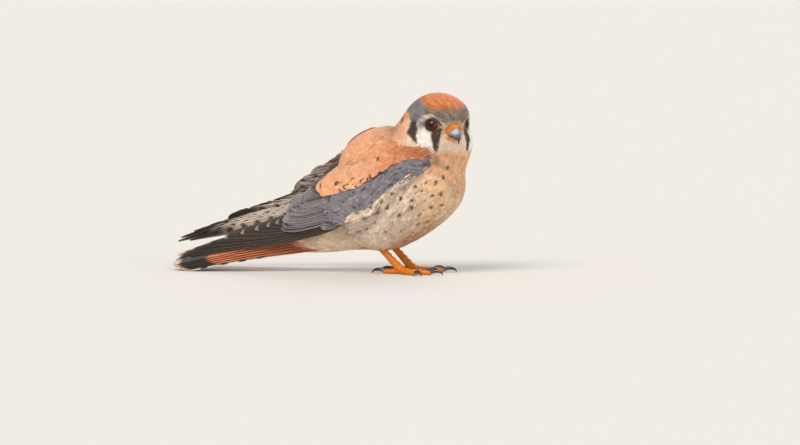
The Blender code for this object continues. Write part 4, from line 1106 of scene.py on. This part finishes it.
def wing_sheet(hand, start, end, breadth, sag):
    """Where feathers lie: a runs from start to end, b round an arc over the back, h outwards.

    The lower half sags most a quarter of the way along, and comes back to the line at the tip."""
    start, outward = np.array(start), np.array(WING_OUT)
    along = unit(end - start)
    outward = unit(outward - along * (outward @ along))
    dorsal = np.cross(outward, along)
    dorsal = dorsal if dorsal[2] > 0 else -dorsal

    def surface(a, b, h):
        """start + a * along + out * outward + rise * dorsal, round an arc of radius WING_WRAP."""
        hang = sag * soft(a, -6.0, 42.0) * (1 - soft(a, 60.0, WING_CHORD))
        hang = hang * (1 - 0.8 * soft(b, 22.0, 44.0))
        angle = (b - hang) * breadth / WING_WRAP
        out = WING_WRAP * (np.cos(angle) - 1) + np.cos(angle) * h - SAG_TUCK * hang
        out = out + WING_BULGE * np.sin(np.clip(a / BULGE_END, 0, 1) * math.pi)
        out = out - NOSE_BEND * np.clip(NOSE_START - a, 0, None) ** 2
        rise = (WING_WRAP + h) * np.sin(angle)
        points = start + a[..., None] * along + out[..., None] * outward + rise[..., None] * dorsal
        return points * (hand, 1, 1)

    return surface


def web_outline(u, shape):
    """Half width along a vane, 0 to 1: quill, full web, then a tip that is pointed, round or square."""
    web = 0.36 + 0.64 * np.clip(u / 0.22, 0, 1) ** 1.2
    if shape == "pointed":
        return web * (1 - 0.90 * np.clip((u - 0.42) / 0.58, 0, 1) ** 1.8)
    start, cut = {"round": (0.80, 1), "square": (0.93, 0.72)}[shape]
    return web * np.sqrt(np.clip(1 - cut * np.clip((u - start) / (1 - start), 0, 1) ** 2, 0.004, 1))


def two_sided(rows, columns):
    """Triangles of a thin closed plate: an upper grid, a lower grid, and a strip round the rim."""
    r, c = np.meshgrid(np.arange(rows - 1), np.arange(columns - 1), indexing="ij")
    a = (r * columns + c).ravel()
    top = np.concatenate((np.stack((a, a + 1, a + columns + 1), 1),
                          np.stack((a, a + columns + 1, a + columns), 1)))
    under = top[:, ::-1] + rows * columns
    rim = np.concatenate((np.arange(columns), np.arange(1, rows) * columns + columns - 1,
                          (rows - 1) * columns + np.arange(columns - 2, -1, -1),
                          np.arange(rows - 2, 0, -1) * columns))
    ahead, low = np.roll(rim, -1), rim + rows * columns
    return np.concatenate((top, under, np.stack((rim, low, ahead), 1),
                           np.stack((ahead, low, ahead + rows * columns), 1)))


def vane(surface, root, tip, width, sunk, lift, shape, outer, paint, bow=0.0, fray=0.0, shingle=0.2,
         ground=None):
    """One flight feather or covert on a surface(a, b, h): points, triangles, colours and two maps.

    Across v it is offset by half width * outer or (1 - outer), sags by v squared, and carries a round
    shaft; along u it rises from sunk to lift. Splits are narrow bites from the inner edge."""
    root, tip = np.array(root, float), np.array(tip, float)
    length = np.linalg.norm(tip - root)
    rows = max(10, int(length / 1.5))
    u, v = np.meshgrid(np.linspace(0, 1, rows), ACROSS, indexing="ij")
    way = (tip - root) / length
    cross = np.array((-way[1], way[0]))
    half = width * web_outline(u, shape)
    for _ in range(3):
        bite = rng.uniform(0.35, 0.95)
        split = np.exp(-(((u - bite) * length / 1.3) ** 2)) * (v > 0.7)
        half = half * (1 - rng.uniform(0.0, 0.22) * split)
    half = half * (1 + 0.02 * rng.standard_normal(u.shape) * (np.abs(v) > 0.9))
    offset = v * half * np.where(v < 0, outer, 1 - outer)
    teeth = fray * rng.uniform(-1, 1, len(ACROSS))[None] * soft(u, 0.9, 1.0)
    run = u * length + teeth
    centre = root + run[..., None] * way + (bow * np.sin(math.pi * u))[..., None] * cross
    place = centre + offset[..., None] * cross
    settle = np.clip(u / 0.3, 0, 1) ** 1.5
    height = sunk + (lift - sunk) * settle - shingle * offset - 0.012 * width * v**2
    if ground:
        height = height + ground(surface, place[..., 0], place[..., 1])
    shaft = np.exp(-((v / 0.07) ** 2)) * (1 - 0.75 * u)
    thick = 0.10 + 0.05 * (1 - v**2) + 0.42 * shaft
    upper = surface(place[..., 0], place[..., 1], height + thick / 2)
    under = surface(place[..., 0], place[..., 1], height - thick / 2)
    points = np.concatenate((upper.reshape(-1, 3), under.reshape(-1, 3)))
    colours = np.concatenate([paint(u.ravel(), v.ravel(), (u * length).ravel(), length, face)
                              for face in (1, 0)])
    barbs = np.stack((run - 1.2 * np.abs(offset), offset), -1).reshape(-1, 2)
    atlas = np.stack(((v + 1) / 2, u), -1).reshape(-1, 2)
    return points, two_sided(rows, len(ACROSS)), colours, np.concatenate((barbs, barbs)), atlas


def with_shaft(colours, v, hex_colour):
    """The same colours with a dark line down the middle, where v is near 0."""
    return painted(colours, (hex_colour, 0.85 * (1 - soft(np.abs(v), 0.04, 0.10))))


def primary_paint(u, v, mm, length, face):
    """Blackish brown with a thin pale edge above; below, pale grey with dark bars, dark at the tip."""
    if face:
        colours = painted("#33261f", ("#4a3a30", 0.8 * soft(v, 0.1, 0.8)),
                          ("#a8988a", 0.6 * soft(-v, 0.88, 0.98)), ("#d8d0c4", 0.8 * soft(u, 0.975, 1.0)))
        return with_shaft(colours, v, "#1d1715")
    bars = np.hypot((np.mod(mm, 10.0) - 5.0) / 2.3, (v - 0.35) / 0.55)
    colours = painted("#f7eee1", ("#453a35", soft(u, 0.70, 0.86)),
                      ("#3a302b", 0.9 * (1 - soft(bars, 0.8, 1.15))),
                      ("#b8aa9c", 0.5 * soft(-v, 0.05, 0.4)),
                      ("#e2d8ca", 0.25 * soft(np.abs(v), 0.85, 1.0) * (1 - soft(u, 0.7, 0.9))))
    return with_shaft(colours, v, "#8a7a6c")


def secondary_paint(u, v, mm, length, face):
    """Slate with a dark base and a white tip above; barred pale grey below."""
    if face:
        colours = painted("#7f797e", ("#2e2827", 1 - soft(u, 0.30, 0.55)),
                          ("#65606c", 0.5 * soft(v, 0.0, 0.5)))
    else:
        bars = 0.8 * band(np.mod(mm, 9.5), 4.7, 1.6, 0.8) * soft(v, 0.0, 0.2)
        colours = painted("#cbc1b6", ("#3c322d", bars))
    colours = painted(colours, ("#d8d2ca", 0.5 * soft(mm, length - 2.2, length - 0.8)))
    return with_shaft(colours, v, "#453f45")


def dark_secondary_paint(u, v, mm, length, face):
    """An outer secondary: brown black with a slate edge and a white tip."""
    return painted(secondary_paint(u, v, mm, length, face), ("#302927", 0.92 * (v > -0.75) * face),
                   ("#c4bab0", 0.4 * soft(mm, length - 2.0, length - 0.7)))


def tertial_paint(u, v, mm, length, face):
    """Slate grey, browner and blotched below, with a white rim round the end."""
    base, centre, blotched = ("#7d777e", "#544b4b", 0.3) if face else ("#bfb6ac", "#8d8278", 0.95)
    blotch = band(np.mod(mm + 3 * v, 11.0), 5.0, 1.6, 1.6) * band(np.abs(v), 0.5, 0.3, 0.2)
    rim = np.maximum(soft(u, 0.965, 0.99), 0.7 * soft(np.abs(v), 0.9, 1.0) * soft(u, 0.5, 0.8))
    colours = painted(base, (centre, 0.6 * (1 - soft(np.abs(v), 0.1, 0.6)) * soft(u, 0.2, 0.5)),
                      ("#3b3230", blotch * blotched), ("#dcd6ce", 0.35 * rim))
    return with_shaft(colours, v, "#3c3536")


def covert_paint(u, v, mm, length, face):
    """Slate with a fine dark shaft, faint lengthwise streaks, a painted pale sheen and a slightly paler
    edge.
    """
    colours = painted("#857f84", ("#8f8a8f", 0.5 * soft(np.abs(v), 0.6, 1.0)))
    colours = painted(colours * (1 + 0.13 * np.sin(17 * v + 2 * np.sin(mm / 3.0)))[:, None],
                      # painted sheen: a pale blue-grey streak down one web
                      ("#a5adae", 0.35 * band(v, 0.45, 0.2, 0.3) * soft(u, 0.3, 0.8)),
                      ("#b4b0b0", 0.3 * soft(mm, length - 1.6, length - 0.5)))
    return with_shaft(colours, v, "#4a4446")


def primary_covert_paint(u, v, mm, length, face):
    """Slate edge, dark centre, and a broad white rim at the tip."""
    rim = soft(mm + 1.2 * np.abs(v), length - 1.4, length - 0.3)
    colours = painted("#767076", ("#443d40", 0.8 * (1 - soft(np.abs(v), 0.25, 0.7))),
                      ("#cfcac3", 0.6 * rim))
    return with_shaft(colours, v, "#1f1a1b")


def scapular_paint(u, v, mm, length, face):
    """Pale rufous with a black mark before a buff tip, paler below."""
    mark = np.hypot((mm - (length - 4.4)) / 1.1, (v - 0.1) / 0.5)
    shown = face * (rng.random() < 0.4)
    return painted("#e8a77f", ("#dd966b", 0.6 * soft(u, 0.2, 0.7) * (1 - np.abs(v))),
                   ("#2b2220", 0.93 * (1 - soft(mark, 0.8, 1.2)) * shown),
                   ("#eec39c", 0.7 * soft(mm, length - 3.0, length - 0.8)),
                   ("#f6d9bd", np.full(len(u), 0.0 if face else 0.8)))


def dark_scapular_paint(u, v, mm, length, face):
    """Brown black, seen only as a dark edge behind the pale tips: partly own colour, partly painted shade.
    """
    return painted("#43312a", ("#8a6650", soft(np.abs(v), 0.5, 1.0)))


FLIGHT_TIERS = (  # count, first and last root, first and last tip (a, b), width, sunk, lifts, outer, paint
    (3, (14, 9), (17, 11), (97, 9), (95.6, 12), 12.0, 3.6, 4.6, 5.0, 0.36, dark_secondary_paint),
    (6, (18.5, 12), (30, 19.4), (95, 13), (90, 21), 12.5, 3.6, 5.2, 6.5, 0.38, secondary_paint),
    (4, (28, 19), (33, 22), (92, 20.5), (78, 24.5), 13.0, 4.6, 6.7, 7.4, 0.42, tertial_paint),
)
COVERT_TIERS = (  # of the primaries, the alula, and the greater coverts of the secondaries
    (8, (22, 3), (15.5, 8), (72, 2.5), (61, 9.8), 8.0, 3.6, 4.8, 6.2, 0.40, primary_covert_paint),
    (3, (7, 3), (4, 5), (45, 1), (34, 4.5), 6.0, 4.0, 6.4, 7.4, 0.40, primary_covert_paint),
    (8, (16, 7), (22, 19), (61, 7), (65, 21), 10.5, 5.4, 7.4, 8.8, 0.42, covert_paint),
)
SCAPULAR_TIERS = (
    (6, (28, 27), (18, 37), (69, 30.5), (57, 39.5), 8.0, -0.8, 0.2, 1.1, 0.45, dark_scapular_paint),
    (7, (28, 26), (14, 40), (67, 28), (44, 42), 9.0, -0.8, 0.8, 1.7, 0.45, scapular_paint),
)


def laid(surface, tiers, **extra):
    """Tiers of feathers between two sets of ends, evenly stepped, each a little unlike the last."""
    made = []
    for count, root, root_end, tip, tip_end, width, sunk, lift, lift_end, outer, paint in tiers:
        for share in np.linspace(0, 1, count):
            wander = rng.uniform(-0.5, 0.5, 4) * (1, 0.5, 3.6, 1.0)
            begin = np.array(root) + (np.array(root_end) - root) * share + wander[:2]
            finish = np.array(tip) + (np.array(tip_end) - tip) * share + wander[2:]
            made.append(vane(surface, begin, finish, width * rng.uniform(0.94, 1.06), sunk,
                             lift + (lift_end - lift) * share, "round", outer, paint, **extra))
    return made


def add_vanes(name, vanes, nodes=()):
    """Many vanes as one piece. Bake map: each vane has its own upright strip, split into two faces."""
    points, faces, colours = joined([made[:3] for made in vanes])
    bake = []
    for i, (_, _, _, _, atlas) in enumerate(vanes):
        for face in (0, 1):
            u = (i + (face + 0.04 + 0.92 * atlas[:, 0]) / 2) / len(vanes)
            bake.append(np.stack((u, 0.01 + 0.98 * atlas[:, 1]), 1))
    maps = {"OFBake": np.concatenate(bake), "Barbs": np.concatenate([made[3] for made in vanes])}
    # the two flat sides of a vane come first among its faces, and its rim keeps a hard edge
    rims = np.concatenate([np.arange(len(made[1])) >= 4 * (len(made[0]) // 2 // len(ACROSS) - 1)
                           * (len(ACROSS) - 1) for made in vanes])
    add_piece(name, points, faces, vane_feather, nodes, colours, maps, rims)


# Flight feathers and coverts: smooth closed vanes with a silky shine.
vane_feather = finish_of_feather("flight_feather_keratin", 0.45, 0.55)

WING_PAD, WING_PAD_RADII = (15.0, 13.5, 3.0), (30.0, 15.0, 5.6)


def pad_height(a, b):
    """Height of the flesh's upper face: middle + thickness * sqrt(1 - x^2 - y^2), falling off outside."""
    (along, across, middle), (length, breadth, thickness) = WING_PAD, WING_PAD_RADII
    inside = 1 - ((a - along) / length) ** 2 - ((b - across) / breadth) ** 2
    return middle + thickness * np.sqrt(np.clip(inside, 0, 1)) + 6.0 * np.clip(inside, -1, 0)


def scattered(count, seed, a_range, b_range):
    """Places spread evenly over a rectangle: side i takes the fraction of i times a plastic power."""
    return (low + np.mod((np.arange(count) + seed) * step, 1) * (high - low)
            for step, (low, high) in zip(PLASTIC, (a_range, b_range)))


def add_tiles(name, surface, height, a, b, lengths, widths, lean, lift, sink, paint, marked):
    """Small feathers as one piece on a wing surface, rooted at (a, b), along a with a sideways lean."""
    u = np.array(VANE_ROWS)
    run = a[:, None] + lengths[:, None] * u
    drift = b[:, None] + lengths[:, None] * u * lean[:, None]
    half = widths[:, None] * np.array(VANE_HALF) / 2
    over = height(surface, run, drift) - sink + (lift[:, None] + sink) * u**0.75
    points = leaf_points(*(surface(run, drift + half * out, over - half * 0.22 * abs(out))
                           for out in (-1, 0, 1)))
    flat, faces = many(points, vane_faces(len(VANE_ROWS)))
    unwrapped = np.stack([0.05 + 0.9 * (part - part.min()) / np.ptp(part) for part in (a, b)], 1)
    # shading normals: the surface's own, leaning out to each side
    level = height(surface, a, b)
    place = surface(a, b, level)
    ups = unit(surface(a, b, level + 1) - place)
    sides = unit(surface(a, b + 1, height(surface, a, b + 1)) - place)
    ways = unit(surface(a + 2, b, height(surface, a + 2, b)) - place)
    facing = np.cross(ways, sides)
    facing = unit(facing * np.sign(np.einsum("ij,ij->i", facing, ups))[:, None])
    add_piece(name, flat, faces, contour_feather, (), paint(points, marked),
              coat_maps(VANE_ROWS, lengths, widths, VANE_HALF, unwrapped),
              normals=leaning(facing, sides, VANE_ROWS))


# How dark each point of a small feather is, from the root to the tip: left, middle, right a row.
TILE_SHADE = np.array([0.72, 0.66, 0.72, 0.86, 0.78, 0.86, 0.98, 0.9, 0.98, 1.04, 0.96, 1.04, 1.05])


def wing_streak(points, across, along, seed):
    """Noise on the folded wing, whose feathers run about 45 degrees down and back."""
    return cloud((points[..., 1] + points[..., 2]) / across, (points[..., 1] - points[..., 2]) / along,
                 seed)[..., None]


def with_marks(colours, marked, near_tip, hex_colour):
    """Small feathers' colours; marked ones take a mark's, by its weight at their last six points."""
    weight = (marked[:, None] * np.array([0] * 7 + near_tip)[None])[..., None]
    return (np.clip(colours, 0, 1) * (1 - weight) + linear(hex_colour) * weight).reshape(-1, 3)


def slate_tiles(points, marked):
    """Slate with a fine dark shaft, streaked along the wing; a few have a dark drop at the tip."""
    colours = linear("#817b82") * rng.normal(1, 0.16, (len(points), 1, 1))
    colours = colours * TILE_SHADE[:, None] ** 1.3 * (0.76 + 0.5 * wing_streak(points, 0.9, 6.5, 4.0))
    return with_marks(colours, marked, [0.7, 0, 0, 0.9, 0, 0], "#2c2629")


def rufous_tiles(points, marked):
    """Rufous, deeper at the shoulder, varied from feather to feather; a few have a black tip mark."""
    share = (soft(points[:, :1, 1], -8.0, 20.0) + rng.normal(0, 0.3, (len(points), 1)))[..., None]
    colours = linear("#e9ab82") * share + linear("#d98d61") * (1 - share)
    colours = colours * TILE_SHADE[:, None] ** 0.7 * (0.9 + 0.2 * wing_streak(points, 1.0, 6.0, 6.0))
    return with_marks(colours, marked, [0.5, 0, 0.95, 0.95, 0.95, 0.1], "#2b2220")


def flank_tiles(points, marked):
    """The coat's own markings, a little darker towards the root; marked ones have a dark drop."""
    colours = plumage(points.reshape(-1, 3)).reshape(points.shape)
    colours = colours * rng.normal(1.0, 0.13, (len(points), 1, 1)) * TILE_SHADE[:, None] ** 0.6
    return with_marks(colours, marked, [0.6, 0, 0.2, 0.9, 0.2, 0.3], "#3a2d26")


def own_outline(surface, a, b):
    """Height of the body over the wing's sheet, by stepping to where its distance is nought."""
    body = np.zeros(a.shape)
    for _ in range(8):
        body = body - np.clip(body_distance(surface(a, b, body)), -5, 5)
    return body


def covert_top(surface, a, b):
    """What the scapulars lie on: the coverts low down, the body's own outline higher up."""
    coverts = (9.6 - 2.0 * soft(a, 58, 74) - 9.0 * soft(-a, -14, 16)) * (1 - 0.8 * soft(b, 28, 38))
    return np.maximum(np.maximum(coverts, pad_height(a, b) + 1.2), own_outline(surface, a, b))


def wing_top(surface, a, b):
    """The flesh and the rows of coverts that the smallest coverts lie on."""
    rows = np.interp(a, (-14, 6, 24, 44), (0.0, 5.5, 8.6, 8.9)) + 0.1 * (b - 10)
    rows = rows - 0.9 * np.clip(-b, 0, 12)
    return np.maximum(np.maximum(pad_height(a, b) + 0.5, rows), own_outline(surface, a, b) - 0.3)


def flank_top(surface, a, b):
    """The body's own outline, or the smallest coverts where those stand out farther."""
    return np.maximum(own_outline(surface, a, b), wing_top(surface, a, b) + 0.5)


# Where the small feathers of the wing end: along the wing, the lowest and the highest b.
LESSER_LOW = ((-17, -12, 0, 17, 25, 35, 44, 51), (8, 4, 2, 1, 0, 3, 3, 7))
LESSER_HIGH = ((-17, -12, 8, 25, 44, 51), (15, 16, 19, 23, 22, 17))
MANTLE_LOW = ((-19, -6, 8.5, 25, 43, 52), (13, 16.5, 18.5, 23, 24.5, 25.5))
MANTLE_HIGH = ((-19, -8, 0, 10, 20, 28, 34, 43, 52), (17, 23, 29, 37, 44, 44, 39, 33.5, 28))
PLUMES_HIGH = ((-22, -17, -13, -9, -2, 8, 17, 26, 35, 42), (15, 11, 6, 3, 3.5, 4.5, 3.5, 2.5, 4, -2))

for side, hand, *places in WINGS:
    surface = wing_sheet(hand, *places)
    quills = []
    for i, (share, edge) in enumerate(PRIMARY_TIPS):
        *root, lift = PRIMARY_ROOT + PRIMARY_STEP * i
        quills.append(vane(surface, root, (WING_CHORD * share, edge), PRIMARY_WIDTH, PRIMARY_SUNK, lift,
                           "pointed" if i < POINTED else "round", 0.26, primary_paint, bow=-1.0))
    quills += laid(surface, FLIGHT_TIERS)
    add_vanes("flight_feathers_" + side, quills, ("wing_" + side,))
    add_vanes("wing_coverts_" + side, laid(surface, COVERT_TIERS))
    # the left wing has the pale tier alone
    scapulars = laid(surface, SCAPULAR_TIERS[hand < 0 :], ground=covert_top, shingle=0.05)
    add_vanes("scapulars_" + side, scapulars)
    local, faces = ball(28, 40)
    points = surface(*(local * (-1, 1, 1) * WING_PAD_RADII + WING_PAD).T)
    bake = np.stack((np.arange(len(points)) / len(points), np.zeros(len(points)) + 0.5), 1)
    add_piece("wing_flesh_" + side, points, faces, contour_feather,
              colours=plain("#6a6671", len(points)), maps={"OFBake": bake, "Barbs": bake * 0})

    def mantle_top(surface, a, b, fold=hand < 0):
        """Over the scapulars' roots; on the left, whose wing lies lower, level with the back above."""
        return covert_top(surface, a, b) + 1.5 * soft(a, 2, 16) * (1 - soft(b, 30, 40) * fold)

    a, b = scattered(1400, 5, (-17, 51), (-3, 27))
    fits = (b < np.interp(a, *LESSER_HIGH)) & (b > np.interp(a, *LESSER_LOW) + rng.uniform(-1, 1, len(a)))
    a, b = a[fits], b[fits]
    lengths = np.interp(a, (-17, 51), (6, 12)) * rng.uniform(0.9, 1.15, len(a))
    add_tiles("lesser_coverts_" + side, surface, wing_top, a, b, lengths, lengths * 0.42,
              rng.normal(-0.1, 0.07, len(a)), rng.uniform(0.2, 0.6, len(a)), 0.5, slate_tiles,
              rng.random(len(a)) < 0.1)
    a, b = scattered(1900, 9, (-19, 52 if hand > 0 else 30), (9, 50))
    low = np.interp(a, *MANTLE_LOW) + rng.uniform(-1, 1, len(a))
    marked = rng.random(len(a)) < 0.012 + 0.13 * (b < low + 3.0) * (a > 8)
    fits = (b > low) & (b < np.interp(a, *MANTLE_HIGH))
    a, b, marked = a[fits], b[fits], marked[fits]
    lengths = np.interp(a, (-19, 40, 52), (6, 12.5, 11)) * rng.uniform(0.9, 1.1, len(a))
    add_tiles("mantle_sides_" + side, surface, mantle_top, a, b, lengths, lengths * 0.45,
              rng.normal(-0.05, 0.07, len(a)), rng.uniform(0.1, 0.5, len(a)), 0.5, rufous_tiles, marked)
    # feathers of the flank and breast side that lap over the front lower edge of the wing
    a, b = scattered(3400, 21, (-22, 42), (-14, 17))
    fits = b < np.interp(a, *PLUMES_HIGH) + rng.uniform(-2.6, 2.2, len(a))
    fits &= (a > rng.uniform(-22, -15, len(a))) & (b > rng.uniform(-14, -7, len(a)))
    a, b = a[fits], b[fits]
    lengths = rng.uniform(5.0, 9.0, len(a)) * np.interp(a, (-20, 5, 25), (0.8, 1.1, 1.5))
    leans = np.interp(a, (-22, -10, 10, 34), (-1.0, -0.7, -0.3, -0.05)) + rng.normal(0, 0.14, len(a))
    add_tiles("side_plumes_" + side, surface, flank_top, a, b, lengths,
              0.8 + lengths * 0.17, leans, rng.uniform(0.05, 0.4, len(a)), 0.6, flank_tiles,
              rng.random(len(a)) < 0.04)

# ============================================================ tail
# Twelve long feathers, fanned a little and split down the middle: rufous with a black band near a
# frayed pale tip. The outermost pair is pale with black bars on its outer web.

TAIL_ROOT, TAIL_TIP = np.array((0.0, 34.0, 25.0)), np.array((-10.0, 158.0, 7.7))
TAIL_ROLL, TAIL_LENGTH, RECTRIX_WIDTH = 14.0, 127.0, 6.6
FAN_START, FAN_STEP, FAN_SHORTER = 3.8, 0.85, 0.35  # degrees, degrees, mm times the step squared
STACK_START, STACK_STEP = 3.0, 0.8  # each feather lies under the one nearer the middle

tail_along = unit(TAIL_TIP - TAIL_ROOT)
tail_left = unit(np.cross(tail_along, (0.0, 0.0, 1.0)))
tail_left = tail_left if tail_left[0] > 0 else -tail_left
tail_up = np.cross(tail_left, tail_along)
tail_up = tail_up if tail_up[2] > 0 else -tail_up
roll_cos, roll_sin = math.cos(math.radians(TAIL_ROLL)), math.sin(math.radians(TAIL_ROLL))
tail_left, tail_up = tail_left * roll_cos + tail_up * roll_sin, tail_up * roll_cos - tail_left * roll_sin


def tail_surface(a, b, h):
    """Where tail feathers lie: a from root to tip, b to the left, h up, with a slow downward bend."""
    droop = (0.0009 * np.square(a - 60.0) - 3.2) * 0.6
    rise = (h - droop)[..., None]
    return TAIL_ROOT + a[..., None] * tail_along + b[..., None] * tail_left + rise * tail_up


def rectrix_paint(order):
    """Paint for the feather order steps from the middle (0) to the outermost (5)."""

    def paint(u, v, mm, length, face):
        """Rufous, with a black band before the pale tip; the outermost has a pale, barred outer web."""
        from_tip = mm - length
        base = "#dc8450" if face else "#e2996a"
        if order == 5:
            outer = soft(v, 0.1, 0.3)
            bars = band(np.mod(from_tip + 6.0, 13.0), 6.5, 2.4, 1.0) * soft(u, 0.45, 0.6)
            marks = (("#e6ddd0", outer * soft(u, 0.3, 0.5)), ("#241c1a", bars * outer),
                     ("#241c1a", (1 - outer) * band(from_tip, -13.0, 9.0, 2.0)))
        else:
            marks = (("#231b19", band(from_tip + 1.2 * np.sin(7 * v), -14.0, 9.6, 1.6)),)
        colours = painted(base, ("#c8703c", 0.5 * (1 - np.abs(v))), *marks,
                          ("#ead3b8", soft(from_tip, -4.4, -3.2)))
        return with_shaft(colours, v, "#4a2c1c")

    return paint


rectrices = []
for k in range(6):
    for hand in (1, -1):
        angle = math.radians(FAN_START + FAN_STEP * k)
        length = TAIL_LENGTH - FAN_SHORTER * k * k
        below = k + 0.5 * (hand < 0)
        near, far = STACK_START - STACK_STEP * (2 * below), -STACK_STEP * below

        def fan(a, b, h, hand=hand, near=near, far=far):
            """The tail's surface for one feather: its height goes from near to far along the tail."""
            h = h + near + (far - near) * soft(a / TAIL_LENGTH, 0.35, 0.9)
            return tail_surface(a, b * hand, h)

        rectrices.append(vane(fan, (6.0, 6.0 * math.tan(angle)),
                              (length * math.cos(angle), length * math.sin(angle)), RECTRIX_WIDTH * 2, 0.0,
                              0.3, "square", 0.5, rectrix_paint(k), fray=1.6, shingle=0.0))
add_vanes("tail_feathers", rectrices, ("tail",))
